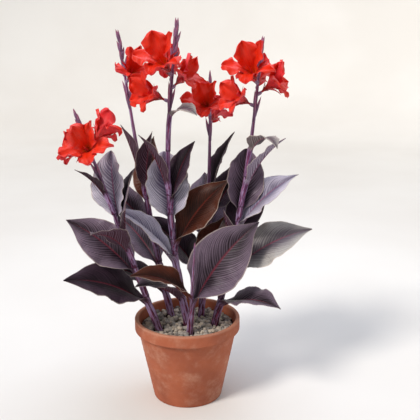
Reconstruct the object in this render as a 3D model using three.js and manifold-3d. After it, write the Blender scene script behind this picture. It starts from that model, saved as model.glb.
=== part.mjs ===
// Potted canna lily: a clump of five flowering shoots and one short leafy shoot, with dark
// leaves and scarlet blooms, growing in soil under gravel in a plain clay pot.
// Millimetres and degrees, +Z up, origin at the middle of the pot's foot, front towards -Y.

import * as THREE from 'three';
import { mergeVertices } from 'three/addons/utils/BufferGeometryUtils.js';
import Module from 'manifold-3d';

const wasm = await Module();
wasm.setup();

// Clearance that each piece keeps to its neighbour, how near two corners are to be one, and the
// depth to which slivers left by joins and cuts are smoothed away
const GAP = 0.3;
const CORNER_REACH = 1e-4;
const SLIVER_DEPTH = 0.28;

// Pot, soil and gravel
const POT_HEIGHT = 285;
const POT_FOOT_RADIUS = 118;
const POT_SHOULDER_RADIUS = 168;
const POT_RIM_RADIUS = 180;
const POT_RIM_HEIGHT = 42;
const POT_WALL = 9;
const POT_FLOOR = 12;
const POT_EDGE = 3;
const POT_SIDES = 32;
const DRAIN_COUNT = 4;
const DRAIN_RADIUS = 8;
const DRAIN_CIRCLE = 62;
const DRAIN_SIDES = 8;
const SOIL_TOP = 250;
const GRAVEL_RINGS = 4;
const GRAVEL_LOW = 6;
const GRAVEL_HIGH = 15;
const GRAVEL_SEED = 11;

// Shoots: every height is measured up from the soil. Each ends in a pointed tip, and its buds
// stand round it at the golden angle, shorter and steeper towards the top. Twin buds stand lower,
// between the blooms: height, bearing, tilt from the shoot and length of each.
const STEM_SIDES = 8;
const STEM_STEP = 105;
const STEM_DEPTH = 70;
const TIP_LENGTH = 34;
const TIP_SIDES = 5;
const TIP_OVERLAP = 8;
const TIP_SPARE = 0.8;
const GOLDEN_ANGLE = 137.5;
const BUD_RADIUS = 5;
const BUD_SIDES = 4;
const BUD_TILT_DRAW = 6;
const BUD_TILT_ENDS = [1.15, 0.65];
const BUD_LENGTH_ENDS = [1, 0.75];
const BUD_LENGTH_DRAW = [0.9, 1.1];
const SHOOTS = {
  centre: {
    base: [2, -8], lean: [-26, 10], bow: [-47, 0], height: 1000, butt: 12, tip: 3.6,
    buds: { count: 10, from: 876, to: 985, length: 58, tilt: 14, turn: 40, seed: 3 },
    twins: [[728, 255, 14, 84], [742, 330, 13, 74], [756, 120, 14, 76]],
  },
  left: {
    base: [-92, -50], lean: [-232, -90], bow: [0, 0], height: 735, butt: 11, tip: 3.4,
    buds: { count: 7, from: 640, to: 722, length: 50, tilt: 16, turn: 10, seed: 5 },
    twins: [[520, 300, 14, 76], [538, 220, 13, 70]],
  },
  right: {
    base: [92, -6], lean: [148, 6], bow: [22, 0], height: 945, butt: 11.5, tip: 3.4,
    buds: { count: 8, from: 842, to: 930, length: 54, tilt: 14, turn: 70, seed: 7 },
    twins: [[700, 262, 14, 80], [716, 330, 13, 72], [730, 110, 14, 74]],
  },
  middle: {
    base: [46, 70], lean: [32, 45], bow: [10, 8], height: 835, butt: 10.5, tip: 3.2,
    buds: { count: 6, from: 742, to: 820, length: 48, tilt: 15, turn: 120, seed: 9 },
    twins: [[622, 290, 14, 74], [640, 180, 13, 66]],
  },
  back: {
    base: [-58, 74], lean: [-165, 60], bow: [-12, 8], height: 965, butt: 11, tip: 3.4,
    buds: { count: 9, from: 838, to: 950, length: 54, tilt: 16, turn: 200, seed: 13 },
    twins: [[728, 250, 14, 78], [744, 20, 13, 72], [760, 140, 14, 70]],
  },
  front: {
    base: [10, -80], lean: [18, -12], bow: [0, 0], height: 300, butt: 10, tip: 2.2,
    buds: null,
  },
};

// Outline of a blade: share of the full width kept at the root, how early it is widest, how
// full its shoulders are and how much the tip is drawn out
const LEAF_OUTLINE = { stalk: 0.05, root: 0.09, early: 0.78, full: 0.85, drawn: 0.35 };
const ROUND_LEAF = { stalk: 0.05, root: 0.09, early: 0.88, full: 0.62, drawn: 0.12 };
const BROAD_PETAL = { stalk: 0, root: 0.075, early: 1.7, full: 0.62, drawn: 0 };
const POINTED_PETAL = { stalk: 0, root: 0.075, early: 1.3, full: 0.85, drawn: 0.45 };
const DRAWN_FROM = 0.7;
const DRAWN_TO = 0.97;
const TIP_SHARE = 0.015;

// Blades: a half's margin waves out of step with the other's, the roll about the midrib is
// reached at a share of the length, and the fold is deeper by a share at the root
const HALVES_OUT_OF_STEP = 1.3;
const ROLL_REACHED = 0.4;
const ROOT_FOLD_SPARE = 0.6;
const RIDGE_LIMIT = 1.6;
const FOLD_LIMIT = 1.2;
const FLAT_SPREAD = 1e-6;

// Leaves: node height, bearing (0 right, 90 back), length, width, lean from the shoot at root
// and tip, fold at the midrib, curl of the two halves' margins, and roll about the midrib.
// The root clasps the shoot and opens into the blade by a share of the length.
const LEAF_ROWS = 7;
const LEAF_COLUMNS = 4;
const LEAF_PACE = 1.3;
const LEAF_EDGE = 1.2;
const LEAF_RIB = 3.2;
const LEAF_WAVE = 0.035;
const LEAF_WAVES = 2;
const CLASP_SPARE = 2.7;
const CLASP_TURN = 118;
const CLASP_END = 0.16;
const LEAVES = [
  { name: 'leaf_centre_folded', shoot: 'centre', node: 235, bearing: 186, length: 290, width: 125,
    lean: [26, 52], fold: 50, curl: [30, -40], roll: 0 },
  { name: 'leaf_centre_front', shoot: 'centre', node: 100, bearing: 228, length: 218, width: 116,
    lean: [34, 80], fold: 28, curl: [8, 8], roll: -15 },
  { name: 'leaf_centre_right', shoot: 'centre', node: 290, bearing: 5, length: 280, width: 145,
    lean: [30, 60], fold: 24, curl: [8, 8], roll: 50 },
  { name: 'leaf_centre_cupped', shoot: 'centre', node: 375, bearing: 95, length: 230, width: 172,
    lean: [7, 20], fold: 20, curl: [45, 45], roll: 0, outline: ROUND_LEAF },
  { name: 'leaf_centre_high', shoot: 'centre', node: 500, bearing: 205, length: 190, width: 74,
    lean: [14, 40], fold: 35, curl: [10, 10], roll: 0 },
  { name: 'leaf_centre_bract', shoot: 'centre', node: 722, bearing: -38, length: 118, width: 62,
    lean: [38, 128], fold: 20, curl: [8, 8], roll: 24 },
  { name: 'leaf_left_low', shoot: 'left', node: 110, bearing: 205, length: 300, width: 165,
    lean: [26, 68], fold: 20, curl: [5, 5], roll: -35 },
  { name: 'leaf_left_wide', shoot: 'left', node: 215, bearing: 160, length: 290, width: 145,
    lean: [20, 56], fold: 22, curl: [5, 5], roll: -40 },
  { name: 'leaf_left_front', shoot: 'left', node: 300, bearing: 248, length: 210, width: 110,
    lean: [24, 72], fold: 28, curl: [5, 5], roll: 0 },
  { name: 'leaf_left_fan', shoot: 'left', node: 400, bearing: 48, length: 220, width: 165,
    lean: [10, 26], fold: 12, curl: [25, 25], roll: 0, outline: ROUND_LEAF },
  { name: 'leaf_left_small', shoot: 'left', node: 490, bearing: 215, length: 130, width: 56,
    lean: [12, 44], fold: 30, curl: [10, 10], roll: 0 },
  { name: 'leaf_right_front', shoot: 'right', node: 80, bearing: 318, length: 250, width: 130,
    lean: [46, 92], fold: 26, curl: [5, 5], roll: 20 },
  { name: 'leaf_right_low', shoot: 'right', node: 190, bearing: 5, length: 320, width: 160,
    lean: [30, 68], fold: 22, curl: [5, 5], roll: 38 },
  { name: 'leaf_right_back', shoot: 'right', node: 300, bearing: 70, length: 290, width: 140,
    lean: [20, 56], fold: 25, curl: [8, 8], roll: 0 },
  { name: 'leaf_right_cupped', shoot: 'right', node: 400, bearing: 100, length: 215, width: 144,
    lean: [8, 22], fold: 20, curl: [35, 35], roll: 0, outline: ROUND_LEAF },
  { name: 'leaf_right_outer', shoot: 'right', node: 500, bearing: -20, length: 200, width: 90,
    lean: [14, 46], fold: 32, curl: [8, 8], roll: 0 },
  { name: 'leaf_right_pale', shoot: 'right', node: 610, bearing: 300, length: 165, width: 90,
    lean: [22, 130], fold: 18, curl: [5, 5], roll: 0 },
  { name: 'leaf_middle_low', shoot: 'middle', node: 90, bearing: 50, length: 280, width: 140,
    lean: [40, 85], fold: 28, curl: [5, 5], roll: 0 },
  { name: 'leaf_middle_brown', shoot: 'middle', node: 190, bearing: -62, length: 225, width: 118,
    lean: [14, 42], fold: 32, curl: [10, 10], roll: 0 },
  { name: 'leaf_middle_back', shoot: 'middle', node: 260, bearing: 95, length: 320, width: 150,
    lean: [25, 62], fold: 25, curl: [5, 5], roll: 0 },
  { name: 'leaf_middle_tall', shoot: 'middle', node: 430, bearing: 20, length: 240, width: 105,
    lean: [8, 30], fold: 30, curl: [10, 10], roll: 0 },
  { name: 'leaf_back_under', shoot: 'back', node: 95, bearing: 205, length: 260, width: 140,
    lean: [34, 72], fold: 24, curl: [5, 5], roll: -30 },
  { name: 'leaf_back_low', shoot: 'back', node: 180, bearing: 125, length: 320, width: 155,
    lean: [34, 76], fold: 25, curl: [5, 5], roll: 0 },
  { name: 'leaf_back_left', shoot: 'back', node: 310, bearing: 185, length: 290, width: 135,
    lean: [20, 52], fold: 26, curl: [8, 8], roll: -30 },
  { name: 'leaf_back_inner', shoot: 'back', node: 400, bearing: 60, length: 250, width: 120,
    lean: [12, 38], fold: 28, curl: [10, 10], roll: 0 },
  { name: 'leaf_back_tall', shoot: 'back', node: 520, bearing: 200, length: 170, width: 60,
    lean: [5, 16], fold: 37, curl: [45, 45], roll: 0 },
  { name: 'leaf_front_hero', shoot: 'front', node: 110, bearing: 12, length: 350, width: 190,
    lean: [20, 50], fold: 18, curl: [5, 5], roll: 62 },
  { name: 'leaf_front_low', shoot: 'front', node: 130, bearing: 205, length: 240, width: 115,
    lean: [36, 90], fold: 34, curl: [10, 10], roll: -20 },
  { name: 'leaf_middle_left', shoot: 'middle', node: 140, bearing: 184, length: 309, width: 152,
    lean: [28, 63], fold: 24, curl: [5, 5], roll: -33 },
  { name: 'leaf_middle_right', shoot: 'middle', node: 338, bearing: 6, length: 280, width: 135,
    lean: [16, 50], fold: 26, curl: [8, 8], roll: 32 },
  { name: 'leaf_back_high', shoot: 'back', node: 460, bearing: 325, length: 205, width: 90,
    lean: [10, 32], fold: 30, curl: [10, 10], roll: 0 },
  { name: 'leaf_right_inner', shoot: 'right', node: 245, bearing: 213, length: 180, width: 83,
    lean: [10, 29], fold: 26, curl: [8, 8], roll: -5 },
  { name: 'leaf_right_wide', shoot: 'right', node: 350, bearing: -5, length: 268, width: 135,
    lean: [17, 53], fold: 24, curl: [8, 8], roll: 31 },
  { name: 'leaf_left_inner', shoot: 'left', node: 350, bearing: 350, length: 235, width: 115,
    lean: [14, 42], fold: 26, curl: [8, 8], roll: 28 },
  { name: 'leaf_centre_upper', shoot: 'centre', node: 439, bearing: 17, length: 213, width: 101,
    lean: [10, 39], fold: 28, curl: [8, 8], roll: 30 },
];

// Blooms: height on the shoot, bearing and rise of the bloom's axis, size of the whole bloom
// against a full one, and turn of its petals about the axis
const OVARY_REACH = 17;
const OVARY_RADIUS = 4.4;
const OVARY_SIDES = 5;
const TUBE_LENGTH = 20;
const TUBE_RADIUS = 6;
const TUBE_SIDES = 6;
const STYLE_LENGTH = 46;
const STYLE_RADIUS = 3;
const STYLE_SIDES = 3;
const BLOOMS = [
  { name: 'bloom_centre_main', shoot: 'centre', node: 845, bearing: 240, rise: 46, size: 1.3, turn: 0 },
  { name: 'bloom_centre_low', shoot: 'centre', node: 765, bearing: 205, rise: 24, size: 1.15, turn: 20 },
  { name: 'bloom_centre_right', shoot: 'centre', node: 805, bearing: -30, rise: 42, size: 1.05, turn: -15 },
  { name: 'bloom_centre_back', shoot: 'centre', node: 825, bearing: 100, rise: 46, size: 1.1, turn: 10 },
  { name: 'bloom_left_main', shoot: 'left', node: 605, bearing: 262, rise: 38, size: 1.2, turn: 20 },
  { name: 'bloom_left_side', shoot: 'left', node: 590, bearing: 165, rise: 34, size: 1.05, turn: 0 },
  { name: 'bloom_left_high', shoot: 'left', node: 635, bearing: 40, rise: 48, size: 1.05, turn: 0 },
  { name: 'bloom_right_main', shoot: 'right', node: 820, bearing: 245, rise: 46, size: 1.28, turn: 5 },
  { name: 'bloom_right_low', shoot: 'right', node: 750, bearing: 200, rise: 28, size: 1.05, turn: 30 },
  { name: 'bloom_right_side', shoot: 'right', node: 785, bearing: -20, rise: 38, size: 1.1, turn: 10 },
  { name: 'bloom_right_back', shoot: 'right', node: 800, bearing: 85, rise: 46, size: 1.05, turn: 0 },
  { name: 'bloom_middle_main', shoot: 'middle', node: 710, bearing: 255, rise: 44, size: 1.15, turn: 0 },
  { name: 'bloom_middle_back', shoot: 'middle', node: 675, bearing: 75, rise: 38, size: 1, turn: 20 },
  { name: 'bloom_back_main', shoot: 'back', node: 815, bearing: 300, rise: 44, size: 1.15, turn: 10 },
];

// Petals of a full bloom, by turn about the axis from its upper side
const PETALS = [
  { turn: 28, length: 94, width: 62, lean: [2, 36], fold: 8, curl: [-10, 26], outline: BROAD_PETAL },
  { turn: -42, length: 92, width: 54, lean: [8, 50], fold: 8, curl: [24, -12], outline: POINTED_PETAL },
  { turn: 102, length: 88, width: 58, lean: [18, 84], fold: 5, curl: [-18, 20], outline: BROAD_PETAL },
  { turn: -114, length: 90, width: 52, lean: [22, 96], fold: 5, curl: [18, -18], outline: POINTED_PETAL },
  { turn: 178, length: 72, width: 48, lean: [14, 102], fold: 8, curl: [14, 14], outline: BROAD_PETAL },
];
const PETAL_ROWS = 4;
const PETAL_COLUMNS = 2;
const PETAL_PACE = 0.75;
const PETAL_EDGE = 0.9;
const PETAL_ROOT = 2.2;
const PETAL_SUNK = 4;
const PETAL_CIRCLE = 0.6;
const PETAL_WAVE = 0.09;
const PETAL_WAVES = 1.5;
const PETAL_PHASE = 1.7;

// Round pieces: share along the axis and share of the radius at each ring
const SPINDLE_SHAPE = [[0, 0.6], [0.45, 1], [1, 0.12]];
const OVARY_SHAPE = [[0, 0.6], [0.7, 1.15], [1, 0.85]];
const TUBE_SHAPE = [[0, 0.55], [0.5, 0.75], [1, 1.4]];

// Repeatable draws: a multiplier and a prime that step through the whole range, and how far
// apart two seeds start
const DRAW_STEP = 48271;
const DRAW_RANGE = 2147483647;
const DRAW_SPREAD = 7919;
const DRAW_START = 17;

// Colours and surfaces
const FINISHES = {
  clay: { color: 0xb0603c, roughness: 0.85, metalness: 0 },
  soil: { color: 0x2a1d14, roughness: 1, metalness: 0 },
  gravel: { color: 0xa9a298, roughness: 0.9, metalness: 0 },
  stem: { color: 0x5d3a5c, roughness: 0.5, metalness: 0 },
  leaf: { color: 0x3b3040, roughness: 0.42, metalness: 0 },
  petal: { color: 0xd8281a, roughness: 0.55, metalness: 0 },
};

const UP = new THREE.Vector3(0, 0, 1);
const RIGHT = new THREE.Vector3(1, 0, 0);
const ROUND_START = new THREE.Vector3(0.3, 1, 0.2);

function radians(degrees) {
  return THREE.MathUtils.degToRad(degrees);
}

// Repeatable draws between 0 and 1
function drawsFrom(seed) {
  let state = seed * DRAW_SPREAD + DRAW_START;
  return () => {
    state = (state * DRAW_STEP) % DRAW_RANGE;
    return state / DRAW_RANGE;
  };
}

// Closed geometry to an exact solid, with its shared corners merged and its faces outwards
function toSolid(geometry) {
  const bare = geometry.clone();
  bare.deleteAttribute('normal');
  bare.deleteAttribute('uv');
  const merged = mergeVertices(bare, CORNER_REACH);
  const corners = [];
  const index = merged.index.array;
  for (let i = 0; i < index.length; i += 3) {
    const [a, b, c] = [index[i], index[i + 1], index[i + 2]];
    if (a !== b && b !== c && c !== a) corners.push(a, b, c);
  }
  const vertProperties = new Float32Array(merged.attributes.position.array);
  const build = (order) => new wasm.Manifold(
    new wasm.Mesh({ numProp: 3, vertProperties, triVerts: new Uint32Array(order) }));
  const solid = build(corners);
  return solid.volume() > 0 ? solid : build(corners.reverse());
}

// The largest body of a solid, so that a loose scrap left by a cut is dropped
function largestBody(solid) {
  const bodies = solid.decompose();
  return bodies.reduce((best, body) => (body.volume() > best.volume() ? body : best));
}

function toMesh(name, solid, finish) {
  const { vertProperties, triVerts, numProp } = solid.asOriginal().simplify(SLIVER_DEPTH).getMesh();
  const positions = new Float32Array((vertProperties.length / numProp) * 3);
  for (let i = 0; i < positions.length / 3; i++) {
    positions.set(vertProperties.subarray(i * numProp, i * numProp + 3), i * 3);
  }
  const geometry = new THREE.BufferGeometry();
  geometry.setAttribute('position', new THREE.BufferAttribute(positions, 3));
  geometry.setIndex(new THREE.BufferAttribute(new Uint32Array(triVerts), 1));
  geometry.computeVertexNormals();
  const mesh = new THREE.Mesh(geometry, new THREE.MeshStandardMaterial(finish));
  mesh.name = name;
  return mesh;
}

// Closed body through a row of rings with the same number of corners, flat at both ends
function loft(rings) {
  const sides = rings[0].length;
  const positions = rings.flat().flatMap((point) => point.toArray());
  const index = [];
  for (let i = 0; i < rings.length - 1; i++) {
    for (let k = 0; k < sides; k++) {
      const a = i * sides + k;
      const b = i * sides + ((k + 1) % sides);
      index.push(a, b, b + sides, a, b + sides, a + sides);
    }
  }
  const last = (rings.length - 1) * sides;
  for (let k = 1; k < sides - 1; k++) {
    index.push(0, k + 1, k, last, last + k, last + k + 1);
  }
  const geometry = new THREE.BufferGeometry();
  geometry.setAttribute('position', new THREE.Float32BufferAttribute(positions, 3));
  geometry.setIndex(index);
  return toSolid(geometry);
}

// Ring of corners about a centre, square to an axis, starting towards a reference direction
function ring(centre, axis, reference, radius, sides) {
  const across = reference.clone().addScaledVector(axis, -reference.dot(axis)).normalize();
  const along = new THREE.Vector3().crossVectors(axis, across);
  return Array.from({ length: sides }, (_, k) => {
    const angle = (2 * Math.PI * k) / sides;
    return centre.clone()
      .addScaledVector(across, radius * Math.cos(angle))
      .addScaledVector(along, radius * Math.sin(angle));
  });
}

// Pot

function potOuterRadius(z) {
  const share = z / (POT_HEIGHT - POT_RIM_HEIGHT);
  return THREE.MathUtils.lerp(POT_FOOT_RADIUS, POT_SHOULDER_RADIUS, share);
}

function potInnerRadius(z) {
  return potOuterRadius(z) - POT_WALL;
}

function lathe(profile) {
  const points = profile.map(([r, z]) => new THREE.Vector2(r, z));
  return toSolid(new THREE.LatheGeometry(points, POT_SIDES).rotateX(Math.PI / 2));
}

function pot() {
  const rimFoot = POT_HEIGHT - POT_RIM_HEIGHT;
  let solid = lathe([
    [0, 0],
    [POT_FOOT_RADIUS, 0],
    [POT_SHOULDER_RADIUS, rimFoot],
    [POT_RIM_RADIUS, rimFoot + POT_EDGE],
    [POT_RIM_RADIUS, POT_HEIGHT - POT_EDGE],
    [POT_RIM_RADIUS - POT_EDGE, POT_HEIGHT],
    [potInnerRadius(POT_HEIGHT) + POT_EDGE, POT_HEIGHT],
    [potInnerRadius(POT_HEIGHT), POT_HEIGHT - POT_EDGE],
    [potInnerRadius(POT_FLOOR), POT_FLOOR],
    [0, POT_FLOOR],
  ]);
  for (let i = 0; i < DRAIN_COUNT; i++) {
    const angle = (2 * Math.PI * (i + 0.5)) / DRAIN_COUNT;
    const drain = new THREE.CylinderGeometry(DRAIN_RADIUS, DRAIN_RADIUS, 3 * POT_FLOOR, DRAIN_SIDES)
      .rotateX(Math.PI / 2)
      .translate(DRAIN_CIRCLE * Math.cos(angle), DRAIN_CIRCLE * Math.sin(angle), POT_FLOOR / 2);
    solid = solid.subtract(toSolid(drain));
  }
  return solid;
}

function soil() {
  const foot = POT_FLOOR + GAP;
  return lathe([
    [0, foot],
    [potInnerRadius(foot) - GAP, foot],
    [potInnerRadius(SOIL_TOP) - GAP, SOIL_TOP],
    [0, SOIL_TOP],
  ]);
}

// Layer of stones: a flat disc whose top rises and falls stone by stone
function gravel() {
  const draw = drawsFrom(GRAVEL_SEED);
  const foot = SOIL_TOP + GAP;
  const radius = potInnerRadius(foot) - 2 * GAP;
  const positions = [0, 0, foot, 0, 0, foot + GRAVEL_HIGH];
  const index = [];
  for (let i = 1; i <= GRAVEL_RINGS; i++) {
    for (let k = 0; k < POT_SIDES; k++) {
      const angle = (2 * Math.PI * (k + (i % 2) / 2)) / POT_SIDES;
      const reach = (radius * i) / GRAVEL_RINGS;
      const height = THREE.MathUtils.lerp(GRAVEL_LOW, GRAVEL_HIGH, draw());
      positions.push(reach * Math.cos(angle), reach * Math.sin(angle), foot + height);
    }
  }
  const top = (i, k) => 2 + (i - 1) * POT_SIDES + (k % POT_SIDES);
  for (let k = 0; k < POT_SIDES; k++) index.push(1, top(1, k), top(1, k + 1));
  for (let i = 1; i < GRAVEL_RINGS; i++) {
    for (let k = 0; k < POT_SIDES; k++) {
      const shift = i % 2;
      index.push(top(i, k), top(i + 1, k + shift), top(i, k + 1));
      index.push(top(i, k + 1), top(i + 1, k + shift), top(i + 1, k + shift + 1));
    }
  }
  const rim = positions.length / 3;
  for (let k = 0; k < POT_SIDES; k++) {
    const [x, y] = positions.slice(3 * top(GRAVEL_RINGS, k), 3 * top(GRAVEL_RINGS, k) + 2);
    positions.push(x, y, foot);
    const next = rim + ((k + 1) % POT_SIDES);
    index.push(top(GRAVEL_RINGS, k), rim + k, next);
    index.push(top(GRAVEL_RINGS, k), next, top(GRAVEL_RINGS, k + 1));
    index.push(0, next, rim + k);
  }
  const geometry = new THREE.BufferGeometry();
  geometry.setAttribute('position', new THREE.Float32BufferAttribute(positions, 3));
  geometry.setIndex(index);
  return toSolid(geometry);
}

// Shoots

function shootPoint(shoot, height) {
  const share = height / shoot.height;
  const swing = Math.sin(Math.PI * share);
  return new THREE.Vector3(
    shoot.base[0] + shoot.lean[0] * share + shoot.bow[0] * swing,
    shoot.base[1] + shoot.lean[1] * share + shoot.bow[1] * swing,
    SOIL_TOP + height,
  );
}

function shootAxis(shoot, height) {
  return shootPoint(shoot, height + 1).sub(shootPoint(shoot, height - 1)).normalize();
}

function shootRadius(shoot, height) {
  const share = THREE.MathUtils.clamp(height / shoot.height, 0, 1);
  return THREE.MathUtils.lerp(shoot.butt, shoot.tip, share);
}

// Tube along a shoot with its wall pushed out by a spare, between two heights
function shootTube(shoot, from, to, spare, steps) {
  const rings = Array.from({ length: steps + 1 }, (_, i) => {
    const height = THREE.MathUtils.lerp(from, to, i / steps);
    const radius = shootRadius(shoot, height) + spare;
    return ring(shootPoint(shoot, height), shootAxis(shoot, height), RIGHT, radius, STEM_SIDES);
  });
  return loft(rings);
}

function wholeShoot(shoot, spare) {
  const steps = Math.round((shoot.height + STEM_DEPTH) / STEM_STEP);
  return shootTube(shoot, -STEM_DEPTH - spare, shoot.height, spare, steps);
}

// Round piece from a foot along an axis, with a ring for each entry of its shape
function turned(shape, foot, axis, length, radius, sides) {
  return loft(shape.map(([along, wide]) => ring(
    foot.clone().addScaledVector(axis, length * along), axis, ROUND_START, radius * wide, sides)));
}

// Direction at a bearing round an axis, tilted away from it
function tiltedFrom(axis, bearing, tilt) {
  const level = new THREE.Vector3(Math.cos(bearing), Math.sin(bearing), 0);
  level.addScaledVector(axis, -level.dot(axis)).normalize();
  return axis.clone().multiplyScalar(Math.cos(tilt)).addScaledVector(level, Math.sin(tilt));
}

function bloomAxis(bloom) {
  const bearing = radians(bloom.bearing);
  const rise = radians(bloom.rise);
  return new THREE.Vector3(
    Math.cos(bearing) * Math.cos(rise), Math.sin(bearing) * Math.cos(rise), Math.sin(rise));
}

function bloomFoot(bloom, spare) {
  const shoot = SHOOTS[bloom.shoot];
  const reach = shootRadius(shoot, bloom.node) + OVARY_REACH + spare;
  return shootPoint(shoot, bloom.node).addScaledVector(bloomAxis(bloom), reach);
}

// Seed case between the shoot and a bloom, with a flat end that the bloom stands on
function ovary(bloom) {
  const axis = bloomAxis(bloom);
  const root = shootPoint(SHOOTS[bloom.shoot], bloom.node);
  const end = bloomFoot(bloom, 0);
  return turned(OVARY_SHAPE, root, axis, end.distanceTo(root), OVARY_RADIUS, OVARY_SIDES);
}

function budsOf(shoot) {
  const { count, from, to, length, tilt, turn, seed } = shoot.buds;
  const draw = drawsFrom(seed);
  return Array.from({ length: count }, (_, i) => {
    const share = i / (count - 1);
    const height = THREE.MathUtils.lerp(from, to, share);
    const bearing = radians(turn + GOLDEN_ANGLE * i);
    const lift = tilt * THREE.MathUtils.lerp(...BUD_TILT_ENDS, share) + BUD_TILT_DRAW * (draw() - 0.5);
    const axis = tiltedFrom(shootAxis(shoot, height), bearing, radians(lift));
    const size = length * THREE.MathUtils.lerp(...BUD_LENGTH_ENDS, share)
      * THREE.MathUtils.lerp(...BUD_LENGTH_DRAW, draw());
    return turned(SPINDLE_SHAPE, shootPoint(shoot, height), axis, size, BUD_RADIUS, BUD_SIDES);
  });
}

function twinsOf(shoot) {
  return shoot.twins.map(([height, bearing, tilt, length]) => {
    const axis = tiltedFrom(shootAxis(shoot, height), radians(bearing), radians(tilt));
    return turned(SPINDLE_SHAPE, shootPoint(shoot, height), axis, length, BUD_RADIUS, BUD_SIDES);
  });
}

function shootSolid(name) {
  const shoot = SHOOTS[name];
  let solid = wholeShoot(shoot, 0);
  if (shoot.buds) {
    for (const bud of [...budsOf(shoot), ...twinsOf(shoot)]) solid = solid.add(bud);
  }
  solid = solid.add(turned(
    SPINDLE_SHAPE, shootPoint(shoot, shoot.height - TIP_OVERLAP), shootAxis(shoot, shoot.height),
    TIP_LENGTH, shoot.tip + TIP_SPARE, TIP_SIDES));
  for (const bloom of BLOOMS.filter((entry) => entry.shoot === name)) {
    solid = solid.add(ovary(bloom));
  }
  return solid;
}

// Blades: one formula for leaves and petals

function outlineAt(outline, s) {
  const free = Math.max(0, (s - outline.stalk) / (1 - outline.stalk));
  const swell = Math.sin(Math.PI * free ** outline.early) ** outline.full;
  const tip = 1 - outline.drawn * THREE.MathUtils.smoothstep(free, DRAWN_FROM, DRAWN_TO);
  return Math.max(outline.root * (1 - s) + TIP_SHARE, swell * tip);
}

// Point and normal at share s along a blade and share t across it, -1 to 1. The midrib bends
// evenly from its first lean to its last; each half rises from the rib at the fold angle and
// bends evenly to its curl angle at the margin.
function bladePoint(place, blade, s, t) {
  const [from, to] = blade.lean.map(radians);
  const bend = to - from;
  const lean = from + bend * s;
  const out = (blade.length * (Math.cos(from) - Math.cos(lean))) / bend;
  const up = (blade.length * (Math.sin(lean) - Math.sin(from))) / bend;
  const centre = place.origin.clone()
    .addScaledVector(place.out, out)
    .addScaledVector(place.up, up);
  const along = place.out.clone().multiplyScalar(Math.sin(lean))
    .addScaledVector(place.up, Math.cos(lean));
  const roll = radians(blade.roll) * THREE.MathUtils.smoothstep(s, 0, ROLL_REACHED);
  const side = place.side.clone().applyAxisAngle(along, roll);
  const face = new THREE.Vector3().crossVectors(along, side);

  const open = blade.clasp ? THREE.MathUtils.smoothstep(s, 0, blade.clasp.end) : 1;
  const swell = outlineAt(blade.outline, s);
  const clasped = blade.clasp ? blade.clasp.radius * radians(blade.clasp.turn) : 0;
  const half = THREE.MathUtils.lerp(clasped, (blade.width / 2) * swell, open);
  const fold = radians(blade.fold) * (1 + ROOT_FOLD_SPARE * (1 - s) ** 3) * open;
  const margin = THREE.MathUtils.lerp(blade.clasp?.turn ?? 0, blade.curl[t < 0 ? 0 : 1], open);
  const curl = radians(margin);
  const reach = Math.abs(t);
  const slope = fold + (curl - fold) * reach;
  const spread = Math.abs(curl - fold) < FLAT_SPREAD ? FLAT_SPREAD : curl - fold;
  const across = (half * (Math.sin(fold + spread * reach) - Math.sin(fold))) / spread;
  const wave = blade.wave * blade.width * reach * reach * swell
    * Math.sin(2 * Math.PI * blade.waves * s + (t < 0 ? HALVES_OUT_OF_STEP : 0) + blade.phase);
  const rise = (half * (Math.cos(fold) - Math.cos(fold + spread * reach))) / spread + wave;
  const point = centre.addScaledVector(side, Math.sign(t) * across).addScaledVector(face, rise);

  const normal = t === 0
    ? face.clone().multiplyScalar(Math.min(RIDGE_LIMIT, 1 / Math.cos(Math.min(fold, FOLD_LIMIT))))
    : face.clone().multiplyScalar(Math.cos(slope))
      .addScaledVector(side, -Math.sign(t) * Math.sin(slope));
  return { point, normal };
}

// Closed blade: both faces are the same grid, half the thickness to either side
function bladeSolid(place, blade) {
  const { rows, columns } = blade;
  const positions = [];
  const index = [];
  for (let i = 0; i <= rows; i++) {
    for (let j = 0; j <= columns; j++) {
      const t = (2 * j) / columns - 1;
      const s = (i / rows) ** blade.pace;
      const { point, normal } = bladePoint(place, blade, s, t);
      const ribShare = (1 - Math.abs(t)) ** 2 * (1 - s);
      const half = THREE.MathUtils.lerp(blade.edge, blade.rib, ribShare) / 2;
      positions.push(...point.clone().addScaledVector(normal, half).toArray());
      positions.push(...point.clone().addScaledVector(normal, -half).toArray());
    }
  }
  const at = (i, j, under) => 2 * (i * (columns + 1) + j) + under;
  for (let i = 0; i < rows; i++) {
    for (let j = 0; j < columns; j++) {
      const [a, b, c, d] = [[i, j], [i, j + 1], [i + 1, j + 1], [i + 1, j]];
      const split = j < columns / 2 ? [[a, b, c], [a, c, d]] : [[a, b, d], [b, c, d]];
      for (const [p, q, r] of split) {
        index.push(at(...p, 0), at(...q, 0), at(...r, 0));
        index.push(at(...r, 1), at(...q, 1), at(...p, 1));
      }
    }
  }
  const wall = (p, q) => {
    index.push(at(...p, 0), at(...p, 1), at(...q, 1));
    index.push(at(...p, 0), at(...q, 1), at(...q, 0));
  };
  for (let j = 0; j < columns; j++) {
    wall([0, j], [0, j + 1]);
    wall([rows, j + 1], [rows, j]);
  }
  for (let i = 0; i < rows; i++) {
    wall([i + 1, 0], [i, 0]);
    wall([i, columns], [i + 1, columns]);
  }
  const geometry = new THREE.BufferGeometry();
  geometry.setAttribute('position', new THREE.Float32BufferAttribute(positions, 3));
  geometry.setIndex(index);
  return toSolid(geometry);
}

// Leaves: a blade whose root clasps the shoot

function leafPlace(leaf) {
  const shoot = SHOOTS[leaf.shoot];
  const axis = shootAxis(shoot, leaf.node);
  const out = tiltedFrom(axis, radians(leaf.bearing), Math.PI / 2);
  const origin = shootPoint(shoot, leaf.node)
    .addScaledVector(out, shootRadius(shoot, leaf.node) + CLASP_SPARE);
  return { origin, out, side: new THREE.Vector3().crossVectors(axis, out), up: axis };
}

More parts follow.
